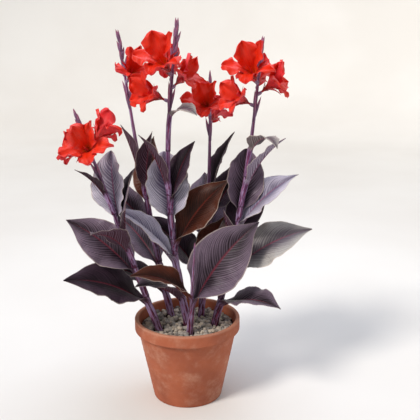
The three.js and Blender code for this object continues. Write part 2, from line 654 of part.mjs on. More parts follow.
function leafSolid(leaf, count) {
  const shoot = SHOOTS[leaf.shoot];
  const clasp = {
    radius: shootRadius(shoot, leaf.node) + CLASP_SPARE, turn: CLASP_TURN, end: CLASP_END,
  };
  const blade = bladeSolid(leafPlace(leaf), {
    outline: LEAF_OUTLINE, ...leaf, clasp, rows: LEAF_ROWS, columns: LEAF_COLUMNS,
    pace: LEAF_PACE, edge: LEAF_EDGE, rib: LEAF_RIB, wave: LEAF_WAVE, waves: LEAF_WAVES,
    phase: count,
  });
  return largestBody(blade.subtract(wholeShoot(shoot, GAP)));
}

// Blooms: petals in two layers on a short tube, with a flat style in the middle

function petalPlace(bloom, foot, turn) {
  const axis = bloomAxis(bloom);
  const upper = UP.clone().addScaledVector(axis, -UP.dot(axis)).normalize();
  const out = upper.applyAxisAngle(axis, radians(turn + bloom.turn));
  const origin = foot.clone().addScaledVector(axis, (TUBE_LENGTH - PETAL_SUNK) * bloom.size)
    .addScaledVector(out, PETAL_CIRCLE * TUBE_RADIUS * bloom.size);
  return { origin, out, side: new THREE.Vector3().crossVectors(axis, out), up: axis };
}

function bloomSolid(bloom, count) {
  const axis = bloomAxis(bloom);
  const foot = bloomFoot(bloom, GAP);
  let solid = turned(
    TUBE_SHAPE, foot, axis, TUBE_LENGTH * bloom.size, TUBE_RADIUS * bloom.size, TUBE_SIDES);
  PETALS.forEach((petal, i) => {
    solid = solid.add(bladeSolid(petalPlace(bloom, foot, petal.turn), {
      ...petal,
      length: petal.length * bloom.size,
      width: petal.width * bloom.size,
      roll: 0, rows: PETAL_ROWS, columns: PETAL_COLUMNS, pace: PETAL_PACE,
      edge: PETAL_EDGE, rib: PETAL_ROOT, wave: PETAL_WAVE, waves: PETAL_WAVES,
      phase: PETAL_PHASE * i + count,
    }));
  });
  const throat = foot.clone().addScaledVector(axis, TUBE_LENGTH * bloom.size - PETAL_SUNK);
  const style = turned(
    SPINDLE_SHAPE, throat, axis, STYLE_LENGTH * bloom.size, STYLE_RADIUS, STYLE_SIDES);
  return largestBody(solid.add(style));
}

// Assembly

const group = new THREE.Group();
const shootNames = Object.keys(SHOOTS);
let soilSolid = soil();
let gravelSolid = gravel();
for (const name of shootNames) {
  const hole = wholeShoot(SHOOTS[name], GAP);
  soilSolid = soilSolid.subtract(hole);
  gravelSolid = gravelSolid.subtract(hole);
}
group.add(toMesh('pot', pot(), FINISHES.clay));
group.add(toMesh('soil', soilSolid, FINISHES.soil));
group.add(toMesh('gravel', largestBody(gravelSolid), FINISHES.gravel));
for (const name of shootNames) {
  group.add(toMesh(`shoot_${name}`, shootSolid(name), FINISHES.stem));
}
LEAVES.forEach((leaf, i) => group.add(toMesh(leaf.name, leafSolid(leaf, i), FINISHES.leaf)));
BLOOMS.forEach((bloom, i) => group.add(toMesh(bloom.name, bloomSolid(bloom, i), FINISHES.petal)));

export default group;
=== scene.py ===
"""Finished look of a potted canna lily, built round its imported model.

Each stem, leaf and bloom, the gravel and the pot get a fine surface of their own, worked out
with numpy from the same sizes as the model. Lengths are in millimetres until a mesh is made,
angles in degrees, +Z is up and the front of the plant looks towards -Y.
"""

import logging
import math
from dataclasses import dataclass
from enum import Enum

import bpy
import numpy as np
from bpy.types import ID, Material, Mesh, Node, NodeTree, Object
from bpy.types import NodeSocket as Socket
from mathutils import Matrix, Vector
from numpy.typing import NDArray


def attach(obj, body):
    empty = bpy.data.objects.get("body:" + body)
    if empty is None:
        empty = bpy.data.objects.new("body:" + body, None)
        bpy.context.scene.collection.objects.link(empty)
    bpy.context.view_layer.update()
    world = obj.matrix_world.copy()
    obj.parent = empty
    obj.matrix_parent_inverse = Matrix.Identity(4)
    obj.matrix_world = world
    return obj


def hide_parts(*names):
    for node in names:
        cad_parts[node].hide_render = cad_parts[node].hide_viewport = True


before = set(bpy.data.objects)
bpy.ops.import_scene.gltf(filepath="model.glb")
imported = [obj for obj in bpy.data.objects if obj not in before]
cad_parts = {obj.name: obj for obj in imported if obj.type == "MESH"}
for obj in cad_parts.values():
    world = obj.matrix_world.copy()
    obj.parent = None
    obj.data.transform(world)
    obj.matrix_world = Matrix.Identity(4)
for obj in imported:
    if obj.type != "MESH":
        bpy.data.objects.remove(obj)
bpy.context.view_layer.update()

log = logging.getLogger("canna")

Array = NDArray[np.float64]
Corners = NDArray[np.int64]
Colour = tuple[float, float, float, float]
Setting = float | tuple[float, ...] | Socket
Inputs = dict[str, Setting] | dict[int, Setting]
Pair = tuple[float, float]
Triple = tuple[float, float, float]

MM = 0.001
UP = np.array([0.0, 0.0, 1.0])

# Curve that turns the values of a colour chart into linear light
CHART_TOP = 255.0
CHART_KNEE = 0.04045
CHART_SLOPE = 12.92
CHART_OFFSET = 0.055
CHART_POWER = 2.4

# Pot, soil and gravel
POT_HEIGHT = 285.0
POT_FOOT_RADIUS = 118.0
POT_SHOULDER_RADIUS = 168.0
POT_RIM_RADIUS = 180.0
POT_RIM_HEIGHT = 42.0
POT_WALL = 9.0
POT_FLOOR = 12.0
SOIL_TOP = 250.0
STEM_DEPTH = 70.0

# Root of a leaf: how far it stands off the stem and how far it wraps round it
CLASP_SPARE = 2.7
CLASP_TURN = 118.0
CLASP_END = 0.16

# Blooms: how far their seed case stands off the stem, and the clearance to it
OVARY_REACH = 17.0
GAP = 0.3

# Buds stand round a shoot, and stones round the pot, at this angle to the last one
GOLDEN_ANGLE = 137.5
ROUND_START = np.array([0.3, 1.0, 0.2])


def lerp(low: Array | float, high: Array | float, share: Array | float) -> Array:
    """Value between two others by a share: the first at 0, the second at 1."""
    return low + (high - low) * share


def smoothstep(value: Array | float, low: float, high: float) -> Array:
    """Rise from 0 to 1 between two values, level at both ends: 3x^2 - 2x^3 of the share x."""
    share = np.clip((np.asarray(value, float) - low) / (high - low), 0.0, 1.0)
    return share * share * (3.0 - 2.0 * share)


def bell(value: Array, width: Array | float) -> Array:
    """Bump of height 1 at zero that dies away on both sides: e^-(value/width)^2."""
    return np.exp(-((value / width) ** 2))


def wave(turns: Array | float) -> Array:
    """Sine of a number of whole turns."""
    return np.sin(2.0 * np.pi * turns)


def unit(vector: Array) -> Array:
    """Vectors of the same direction and length 1."""
    return vector / np.linalg.norm(vector, axis=-1, keepdims=True)


def square_to(axis: Array, vector: Array) -> Array:
    """Part of a vector that is square to an axis, made length 1."""
    along = np.sum(vector * axis, axis=-1, keepdims=True)
    return unit(vector - along * axis)


def turned(vector: Array, axis: Array, angle: Array | float) -> Array:
    """Vector square to an axis, turned about it: v cos a + (axis x v) sin a."""
    angle = np.asarray(angle, float)[..., None]
    return vector * np.cos(angle) + np.cross(axis, vector) * np.sin(angle)


def circle(sides: int) -> Array:
    """Even turns round a full circle, in radians, one for each side."""
    return np.linspace(0.0, 2.0 * np.pi, sides, endpoint=False)


def ring_round(axis: Array, start: Array, sides: int) -> Array:
    """Unit ring square to an axis: across cos a + (axis x across) sin a, from a start direction.

    Args:
        axis: One direction, or one for each ring.
        start: Direction that the first side looks towards.
        sides: Points round each ring.

    Returns:
        Points as rings of sides.
    """
    across = square_to(axis, np.broadcast_to(start, axis.shape))[..., None, :]
    beside = np.cross(axis, across[..., 0, :])[..., None, :]
    turn = circle(sides)[:, None]
    return across * np.cos(turn) + beside * np.sin(turn)


def bearing_vector(bearing: float, rise: float) -> Array:
    """Direction at a bearing round the vertical and a rise above the level.

    Args:
        bearing: Turn from the right towards the back, in degrees.
        rise: Angle above the level, in degrees.

    Returns:
        The direction, of length 1.
    """
    turn = math.radians(bearing)
    lift = math.radians(rise)
    return np.array([
        math.cos(turn) * math.cos(lift),
        math.sin(turn) * math.cos(lift),
        math.sin(lift),
    ])


def tilted_from(axis: Array, bearing: float, tilt: float) -> Array:
    """Direction that leans from an axis by a tilt, towards a bearing."""
    level = square_to(axis, bearing_vector(bearing, 0.0))
    return axis * math.cos(math.radians(tilt)) + level * math.sin(math.radians(tilt))


class Draws:
    """Repeatable draws between 0 and 1, the same row of numbers that the model's buds use."""

    STEP = 48271
    RANGE = 2147483647
    SPREAD = 7919
    START = 17

    def __init__(self, seed: int) -> None:
        """Start the row at a seed."""
        self.state = seed * self.SPREAD + self.START

    def next(self) -> float:
        """Next number of the row."""
        self.state = (self.state * self.STEP) % self.RANGE
        return self.state / self.RANGE


@dataclass
class Skin:
    """A closed surface in the making.

    Marks hold four values for each point, which the finishes read: the share across a blade
    (-1 to 1), the share along it, 1 on an underside, and a tint. A leaf's tint counts its veins.
    """

    points: Array
    quads: Corners
    tris: Corners
    marks: Array


def joined(skins: list[Skin]) -> Skin:
    """Several surfaces as one, each with its corners counted on from the last.

    Args:
        skins: The surfaces.

    Returns:
        All of them, as one.
    """
    starts = np.cumsum([0] + [len(skin.points) for skin in skins[:-1]])
    return Skin(
        points=np.concatenate([skin.points for skin in skins]),
        quads=np.concatenate([skin.quads + start for skin, start in zip(skins, starts)]),
        tris=np.concatenate([skin.tris + start for skin, start in zip(skins, starts)]),
        marks=np.concatenate([skin.marks for skin in skins]),
    )


def grid_quads(rows: int, columns: int, wrapped: bool) -> Corners:
    """Four corners for each face of a grid of points, in the order across, then along.

    Args:
        rows: Number of points along the grid.
        columns: Number of points across it.
        wrapped: True where the last column meets the first.

    Returns:
        An array of faces with four corner numbers each.
    """
    i, j = np.meshgrid(
        np.arange(rows - 1), np.arange(columns if wrapped else columns - 1), indexing="ij")
    near = i * columns + j
    beside = i * columns + (j + 1) % columns
    return np.stack([near, beside, beside + columns, near + columns], axis=-1).reshape(-1, 4)


def marks_for(across: Array, along: Array, under: float, tint: Array | float) -> Array:
    """Marks of a grid from its shares across and along, its underside value and its tint."""
    return np.stack(np.broadcast_arrays(across, along, under, tint), axis=-1)


def tube_skin(rings: Array, marks: Array) -> Skin:
    """Closed surface through a row of rings, with a middle point closing each end.

    The rings run round their path against the clock, so that the faces look outwards.

    Args:
        rings: Points as rows of rings, one ring to a row.
        marks: The four marks of each point, in the same layout.

    Returns:
        The closed surface.
    """
    rows, columns = rings.shape[:2]
    foot = rows * columns
    head = foot + 1
    k = np.arange(columns)
    after = (k + 1) % columns
    last = (rows - 1) * columns
    points = np.concatenate(
        [rings.reshape(-1, 3), rings[0].mean(axis=0)[None], rings[-1].mean(axis=0)[None]])
    values = np.concatenate(
        [marks.reshape(-1, 4), marks[0].mean(axis=0)[None], marks[-1].mean(axis=0)[None]])
    tris = np.concatenate([
        np.stack([np.full(columns, foot), after, k], axis=-1),
        np.stack([np.full(columns, head), last + k, last + after], axis=-1),
    ])
    return Skin(points, grid_quads(rows, columns, True), tris, values)


def ringed_skin(rings: Array, along: Array, tint: float) -> Skin:
    """Closed surface through rings, marked from -1 to 1 round each one and with shares along."""
    around = np.linspace(-1.0, 1.0, rings.shape[1])[None, :]
    return tube_skin(rings, marks_for(around, along, 0.0, tint))


def grid_normals(grid: Array) -> Array:
    """Directions square to a surface: the step along crossed with the step across."""
    return unit(np.cross(np.gradient(grid, axis=0), np.gradient(grid, axis=1)))


def sheet_skin(
    top: Array, under: Array, across: Array, along: Array, tint: Array | float,
) -> Skin:
    """Closed thin sheet between an upper and a lower grid of points, walled along its edges.

    Args:
        top: Upper points, as rows along the sheet.
        under: Lower points in the same layout.
        across: Share across the sheet of each column.
        along: Share along the sheet of each row.
        tint: Tint of the whole sheet, or of each point.

    Returns:
        The closed surface.
    """
    rows, columns = top.shape[:2]
    faces = grid_quads(rows, columns, False)
    below = rows * columns
    j = np.arange(columns - 1)
    i = np.arange(rows - 1) * columns
    last = (rows - 1) * columns
    far = columns - 1
    walls = [
        np.stack([j, j + 1, below + j + 1, below + j], axis=-1),
        np.stack([last + j + 1, last + j, below + last + j, below + last + j + 1], axis=-1),
        np.stack([i + columns, i, below + i, below + i + columns], axis=-1),
        np.stack([i + far, i + far + columns, below + i + far + columns, below + i + far], axis=-1),
    ]
    marks = [
        marks_for(across[None, :], along[:, None], value, tint).reshape(-1, 4)
        for value in (0.0, 1.0)
    ]
    return Skin(
        points=np.concatenate([top.reshape(-1, 3), under.reshape(-1, 3)]),
        quads=np.concatenate([faces[:, ::-1], faces + below, *walls]),
        tris=np.zeros((0, 3), dtype=np.int64),
        marks=np.concatenate(marks),
    )


def mesh_from(name: str, skin: Skin, crease: float) -> Mesh:
    """Blender mesh of a surface, in metres, with its marks as the attributes blade and tint.

    Args:
        name: Name of the mesh.
        skin: The surface, in millimetres.
        crease: Angle between faces, in degrees, past which their shared edge is sharp.

    Returns:
        The mesh, smooth but for its sharp edges.
    """
    mesh = bpy.data.meshes.new(name)
    corners = np.concatenate([skin.quads.ravel(), skin.tris.ravel()]).astype(np.int32)
    square = 4 * len(skin.quads)
    starts = np.concatenate([
        np.arange(len(skin.quads)) * 4,
        square + np.arange(len(skin.tris)) * 3,
    ]).astype(np.int32)
    mesh.vertices.add(len(skin.points))
    mesh.vertices.foreach_set("co", (skin.points * MM).astype(np.float32).ravel())
    mesh.loops.add(len(corners))
    mesh.loops.foreach_set("vertex_index", corners)
    mesh.polygons.add(len(starts))
    mesh.polygons.foreach_set("loop_start", starts)
    mesh.update(calc_edges=True)
    mesh.validate()
    mesh.shade_smooth()
    mesh.set_sharp_from_angle(angle=math.radians(crease))
    blade = mesh.attributes.new("blade", "FLOAT_VECTOR", "POINT")
    blade.data.foreach_set("vector", skin.marks[:, :3].astype(np.float32).ravel())
    tint = mesh.attributes.new("tint", "FLOAT", "POINT")
    tint.data.foreach_set("value", skin.marks[:, 3].astype(np.float32))
    return mesh


def new_object(name: str, skin: Skin, crease: float) -> Object:
    """Object in the scene with the mesh of a surface.

    Args:
        name: Name of the object and its mesh.
        skin: The surface, in millimetres.
        crease: Angle past which an edge is sharp, in degrees.

    Returns:
        The new object.
    """
    item = bpy.data.objects.new(name, mesh_from(name, skin, crease))
    bpy.context.scene.collection.objects.link(item)
    return item


def place_piece(
    name: str, skin: Skin, material: Material, node: str, crease: float = 50.0,
) -> Object:
    """Put a finished surface into the scene in the place of a node of the model.

    Args:
        name: Name of the piece.
        skin: Its surface, in millimetres.
        material: Its finish.
        node: The node that it stands for.
        crease: Angle past which an edge is sharp, in degrees.

    Returns:
        The new object.
    """
    piece = new_object(name, skin, crease)
    piece.data.materials.append(material)
    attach(piece, "root")
    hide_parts(node)
    log.info("%s: %d triangles", name, 2 * len(skin.quads) + len(skin.tris))
    return piece


def paint(red: int, green: int, blue: int) -> Colour:
    """Linear colour from the values of a colour chart.

    Args:
        red: Red, 0 to 255.
        green: Green, 0 to 255.
        blue: Blue, 0 to 255.

    Returns:
        The colour, with full cover.
    """
    chart = np.array([red, green, blue]) / CHART_TOP
    bent = ((chart + CHART_OFFSET) / (1.0 + CHART_OFFSET)) ** CHART_POWER
    linear = np.where(chart <= CHART_KNEE, chart / CHART_SLOPE, bent)
    return (float(linear[0]), float(linear[1]), float(linear[2]), 1.0)


class Graph:
    """Short words for building the nodes of a material or of a shader group."""

    # Places of the two colours, and of their blend, among the sockets of a Mix node
    MIX_FIRST = 6
    MIX_SECOND = 7
    MIX_BLEND = 2

    def __init__(self, tree: NodeTree) -> None:
        """Work on one node tree."""
        self.tree = tree

    def add(self, kind: str, **settings: object) -> Node:
        """New node with some of its own settings set.

        Args:
            kind: Kind of node, such as Math or Mix.
            settings: Its settings, by their names.

        Returns:
            The node.
        """
        node = self.tree.nodes.new(f"ShaderNode{kind}")
        for key, value in settings.items():
            setattr(node, key, value)
        return node

    def feed(self, node: Node, inputs: Inputs) -> Node:
        """Link a node's inputs to other sockets, or set their plain values.

        Args:
            node: The node.
            inputs: Socket or value for each input, by its name or its number.

        Returns:
            The same node.
        """
        for key, value in inputs.items():
            if isinstance(value, Socket):
                self.tree.links.new(value, node.inputs[key])
            else:
                node.inputs[key].default_value = value
        return node

    def step(self, kind: str, inputs: Inputs, result: str | int = 0, **settings: object) -> Socket:
        """Result of a new node with its inputs fed and its settings set."""
        return self.feed(self.add(kind, **settings), inputs).outputs[result]

    def math(self, operation: str, *values: Setting) -> Socket:
        """Result of one step of arithmetic."""
        return self.step("Math", dict(enumerate(values)), operation=operation)

    def times(self, value: Setting, factor: Setting, spare: Setting = 0.0) -> Socket:
        """Value times a factor, plus a spare."""
        return self.math("MULTIPLY_ADD", value, factor, spare)

    def scaled(self, value: Socket, factor: float, spare: float = 0.0) -> Socket:
        """Value times a factor, plus a spare, held between 0 and 1."""
        values = {0: value, 1: factor, 2: spare}
        return self.step("Math", values, operation="MULTIPLY_ADD", use_clamp=True)

    def ease(self, value: Socket, low: float, high: float) -> Socket:
        """Smooth step of a value: 0 at the first limit, 1 at the second, which may be lower."""
        values = {"Value": value, "From Min": low, "From Max": high}
        return self.step("MapRange", values, "Result", interpolation_type="SMOOTHSTEP")

    def blend(self, share: Setting, first: Setting, second: Setting) -> Socket:
        """Two colours blended by a share: the first at 0, the second at 1."""
        values = {0: share, self.MIX_FIRST: first, self.MIX_SECOND: second}
        return self.step("Mix", values, self.MIX_BLEND, data_type="RGBA")

    def vector(self, x: Setting, y: Setting, z: Setting) -> Socket:
        """Vector from three values."""
        return self.step("CombineXYZ", {0: x, 1: y, 2: z})

    def noise(self, vector: Socket, scale: Setting, detail: float, rough: float = 0.5) -> Socket:
        """Cloudy noise at a place, about 0.5 on average."""
        values = {"Vector": vector, "Scale": scale, "Detail": detail, "Roughness": rough}
        return self.step("TexNoise", values)

    def spot(self) -> Socket:
        """Place on the object, in metres."""
        return self.add("TexCoord").outputs["Object"]

    def height(self) -> Socket:
        """Height on the object, in metres."""
        return self.step("SeparateXYZ", {0: self.spot()}, "Z")

    def place(self, group: NodeTree, **values: Setting) -> list[Socket]:
        """Outputs of a shader group that is placed with its inputs fed."""
        return list(self.feed(self.add("Group", node_tree=group), values).outputs)

    def marks(self) -> tuple[Socket, Socket, Socket, Socket]:
        """Marks of the surface, as Skin holds them.

        Returns:
            Share across, share along, underside and tint.
        """
        blade = self.add("Attribute", attribute_name="blade").outputs["Vector"]
        across, along, under = self.feed(self.add("SeparateXYZ"), {0: blade}).outputs
        tint = self.add("Attribute", attribute_name="tint").outputs["Fac"]
        return across, along, under, tint


# Colours that stems and leaf sheaths share
STEM_DEEP = paint(90, 36, 80)
STEM_LOW = paint(76, 28, 42)
STEM_WAXY = paint(178, 152, 194)
STEM_FLUSH = paint(172, 72, 112)
STEM_JOINT = paint(38, 20, 28)


def new_group(
    name: str, inputs: dict[str, float], outputs: dict[str, str],
) -> tuple[NodeTree, Graph, list[Socket], Node]:
    """Empty shader group with number inputs.

    Args:
        name: Name of the group.
        inputs: Name and plain value of each input.
        outputs: Name and kind of each output: Float or Color.

    Returns:
        The group, its graph, a socket for each input, and the node that takes its outputs.
    """
    group = bpy.data.node_groups.new(name, "ShaderNodeTree")
    for key, value in inputs.items():
        socket = group.interface.new_socket(key, in_out="INPUT", socket_type="NodeSocketFloat")
        socket.default_value = value
    for key, kind in outputs.items():
        group.interface.new_socket(key, in_out="OUTPUT", socket_type=f"NodeSocket{kind}")
    given = group.nodes.new("NodeGroupInput").outputs[:len(inputs)]
    return group, Graph(group), given, group.nodes.new("NodeGroupOutput")


class Effects:
    """Shader groups that several finishes share, each built once."""

    FINE_SCALE = 11.0
    BROAD_LIMITS = (0.3, 0.7)
    FINE_LIMITS = (0.25, 0.75)
    STREAK_RUN = 1.4
    STREAK_LIMITS = (0.32, 0.68)
    STEM_CLOUDS = 16.0
    STEM_RUN = 3.0
    LOW_HEIGHTS = (0.8, 0.3)
    WAX_LINES = 4.0
    WAX_LIMITS = (0.26, 0.84)
    WAX_SHARES = (0.55, 0.45)
    FLUSH_LINES = (6.0, 20.0)
    FLUSH_LIMITS = (0.55, 1.0)
    FLUSH_AMOUNT = 0.7

    def __init__(self) -> None:
        """Build every group."""
        self.mottle = self.build_mottle()
        self.streaks = self.build_streaks()
        self.stem_skin = self.build_stem_skin()

    def build_mottle(self) -> NodeTree:
        """Soft clouds and fine specks over a surface, from its place on the object.

        Returns:
            The group.
        """
        group, graph, (scale, shift), made = new_group(
            "mottle", {"Scale": 10.0, "Shift": 0.0}, {"Broad": "Float", "Fine": "Float"})
        moved = graph.vector(shift, 0.0, 0.0)
        spot = graph.step("VectorMath", {0: graph.spot(), 1: moved}, operation="ADD")
        broad = graph.noise(spot, scale, detail=3.0)
        fine = graph.noise(spot, graph.times(scale, self.FINE_SCALE), detail=4.0, rough=0.6)
        graph.feed(made, {
            "Broad": graph.ease(broad, *self.BROAD_LIMITS),
            "Fine": graph.ease(fine, *self.FINE_LIMITS),
        })
        return group

    def build_streaks(self) -> NodeTree:
        """Fine lines: Line counts across them and Run goes along them.

        Returns:
            The group.
        """
        group, graph, (line, run, bend), made = new_group(
            "streaks", {"Line": 0.0, "Run": 0.0, "Bend": 0.8},
            {"Streak": "Float", "Ridge": "Float"})
        place = graph.vector(line, graph.times(run, self.STREAK_RUN), 0.0)
        cloud = graph.noise(place, 1.0, detail=3.0, rough=0.65)
        turn = graph.times(graph.times(cloud, bend, line), 2.0 * math.pi)
        graph.feed(made, {
            "Streak": graph.ease(cloud, *self.STREAK_LIMITS),
            "Ridge": graph.times(graph.math("SINE", turn), 0.5, 0.5),
        })
        return group

    def build_stem_skin(self) -> NodeTree:
        """Colour of stems and sheaths: purple, redder low down, under long streaks of pale wax.

        Returns:
            The group.
        """
        group, graph, (around, along), made = new_group(
            "stem skin", {"Around": 0.0, "Along": 0.0}, {"Color": "Color", "Wax": "Float"})
        run = graph.times(along, self.STEM_RUN)
        broad, _ = graph.place(self.mottle, Scale=self.STEM_CLOUDS)
        waxy, _ = graph.place(self.streaks, Line=graph.times(around, self.WAX_LINES), Run=run)
        red, _ = graph.place(self.streaks, Line=graph.times(around, *self.FLUSH_LINES), Run=run)
        low = graph.ease(graph.height(), *self.LOW_HEIGHTS)
        flush = graph.ease(red, *self.FLUSH_LIMITS)
        purple = graph.blend(low, STEM_DEEP, STEM_LOW)
        purple = graph.blend(graph.scaled(flush, self.FLUSH_AMOUNT), purple, STEM_FLUSH)
        wax = graph.times(
            graph.ease(waxy, *self.WAX_LIMITS), graph.scaled(broad, *self.WAX_SHARES))
        graph.feed(made, {"Color": graph.blend(wax, purple, STEM_WAXY), "Wax": wax})
        return group


@dataclass(frozen=True, kw_only=True)
class Finish:
    """What the finishes share: uneven roughness, low relief in millimetres, gloss and sheen.

    In every finish, limits say where on the surface or in a pattern a tone is none and full,
    an amount says how strong it then is, and shares are a factor and a spare.
    """

    name: str
    roughness: float
    uneven: float = 0.0
    relief: float = 0.0
    relief_depth: float = 1.0
    gloss: float = 0.5
    sheen: float = 0.0
    sheen_roughness: float = 0.5
    sheen_tint: Colour = paint(255, 255, 255)

    def start(self) -> tuple[Material, Graph, Node]:
        """New material with one shader.

        Returns:
            The material, its graph and its shader node.
        """
        material = bpy.data.materials.new(self.name)
        material.use_nodes = True
        return material, Graph(material.node_tree), material.node_tree.nodes["Principled BSDF"]

    def finish(
        self, graph: Graph, shader: Node, colour: Socket, cloud: Socket, height: Socket,
    ) -> None:
        """Feed a shader its colour, roughness and relief, and set its gloss and sheen.

        Args:
            graph: Graph of the material.
            shader: Its shader node.
            colour: Its colour.
            cloud: What its roughness rises with.
            height: Height of its relief, 0 to 1.
        """
        bump = graph.step("Bump", {
            "Height": height, "Strength": self.relief, "Distance": self.relief_depth * MM})
        graph.feed(shader, {
            "Base Color": colour,
            "Roughness": graph.scaled(cloud, self.uneven, self.roughness),
            "Normal": bump,
            "Specular IOR Level": self.gloss,
            "Sheen Weight": self.sheen,
            "Sheen Roughness": self.sheen_roughness,
            "Sheen Tint": self.sheen_tint,
        })


@dataclass(frozen=True, kw_only=True)
class LeafFinish(Finish):
    """Satin leaf: dark near the rib and lighter to the margin, the lighter tone partly waxy bloom
    and partly a painted reflection of sun and sky, with fine veins to the margin, a painted
    highlight on each pleat crest and darker vein lines, partly painted shade, in the troughs.
    """

    deep: Colour
    # Light tone: partly the leaf's waxy bloom, partly a painted reflection of sun and sky
    light: Colour
    rib: Colour
    under: Colour
    # Pale margin colour: partly the leaf's own edge, partly a painted highlight where the margin
    # rolls over
    rim: Colour = paint(214, 198, 184)
    vein_bend: float = 0.35
    fine_veins: float = 3.3
    fine_amount: float = 0.34
    cloud_scale: float = 11.0
    cloud_amount: float = 0.32
    wax_and_reflection_limits: Pair = (0.1, 0.95)
    wax_and_reflection_amount: float = 0.8
    wax_and_reflection_shares: Pair = (1.0, -0.12)
    # Painted highlight on the crest of each pleat
    crest_limits: Pair = (0.45, 1.0)
    crest_shares: Pair = (0.8, 0.15)
    crest_highlight_amount: float = 0.75
    trough_limits: Pair = (0.42, 0.0)
    trough_shares: Pair = (0.6, 0.15)
    trough_under: float = 0.55
    vein_limits: Pair = (1.6, 0.6)
    rib_limits: Pair = (0.06, 0.02)
    rib_ends: Pair = (1.05, 0.55)
    rib_amount: float = 0.75
    rim_limits: Pair = (0.94, 0.985)
    rim_starts: Pair = (0.03, 0.12)
    rim_amount: float = 0.5
    sheath_run: float = 0.4
    sheath_limits: Pair = (0.07, -0.03)
    joint_limits: Pair = (-0.93, -0.99)
    joint_amount: float = 0.8
    fine_relief: float = 0.3
    relief: float = 0.7
    relief_depth: float = 0.9
    roughness: float = 0.32
    uneven: float = 0.16
    under_cloud: float = 0.75
    coat: float = 0.06
    coat_roughness: float = 0.3
    sheen_roughness: float = 0.4
    sheen_tint: Colour = paint(205, 196, 222)

    def build(self, effects: Effects) -> Material:
        """Material of the leaf.

        Args:
            effects: The shared shader groups.

        Returns:
            The material.
        """
        material, graph, shader = self.start()
        across, along, under, vein = graph.marks()
        reach = graph.math("ABSOLUTE", across)
        streak, ridge = graph.place(effects.streaks, Line=vein, Run=across, Bend=self.vein_bend)
        hair, hair_ridge = graph.place(
            effects.streaks, Line=graph.times(vein, self.fine_veins), Run=across)
        broad, fine = graph.place(effects.mottle, Scale=self.cloud_scale)
        # Lighter towards the margin and in broad clouds: partly waxy bloom, partly a painted
        # reflection of sun and sky
        paler = graph.times(graph.ease(reach, *self.wax_and_reflection_limits), self.wax_and_reflection_amount,
                            graph.scaled(broad, self.cloud_amount))
        base = graph.blend(graph.scaled(paler, *self.wax_and_reflection_shares), self.deep, self.light)
        # Painted highlight: the crest of each pleat is lighter, as if lit
        crest_highlight = graph.times(
            graph.ease(ridge, *self.crest_limits), graph.scaled(paler, *self.crest_shares))
        base = graph.blend(graph.scaled(crest_highlight, self.crest_highlight_amount), base, self.light)
        # Darker vein lines in the pleat troughs: partly vein colour, partly painted shade in the
        # creases
        trough = graph.ease(ridge, *self.trough_limits)
        veins_and_painted_shade = graph.times(trough, graph.scaled(streak, *self.trough_shares),
                             graph.scaled(hair, self.fine_amount))
        veins_and_painted_shade = graph.times(veins_and_painted_shade, graph.ease(reach, *self.vein_limits))
        base = graph.blend(veins_and_painted_shade, base, self.deep)
        back = graph.blend(graph.scaled(trough, self.trough_under), self.under, self.light)
        base = graph.blend(under, base, back)
        rib = graph.times(graph.ease(reach, *self.rib_limits), graph.ease(along, *self.rib_ends))
        base = graph.blend(graph.scaled(rib, self.rib_amount), base, self.rib)
        # Pale cream margin: partly the leaf's own edge colour, partly a painted highlight where the
        # margin rolls over
        edge = graph.times(graph.ease(reach, *self.rim_limits), self.rim_amount)
        edge = graph.times(edge, graph.ease(along, *self.rim_starts))
        base = graph.blend(edge, base, self.rim)
        stem, _ = graph.place(
            effects.stem_skin, Around=across, Along=graph.times(along, self.sheath_run))
        base = graph.blend(graph.ease(along, *self.sheath_limits), base, stem)
        joint = graph.scaled(graph.ease(along, *self.joint_limits), self.joint_amount)
        base = graph.blend(joint, base, STEM_JOINT)
        cloud = graph.times(under, self.under_cloud, fine)
        relief = graph.times(hair_ridge, self.fine_relief, ridge)
        self.finish(graph, shader, base, cloud, relief)
        graph.feed(shader, {"Coat Weight": self.coat, "Coat Roughness": self.coat_roughness})
        return material


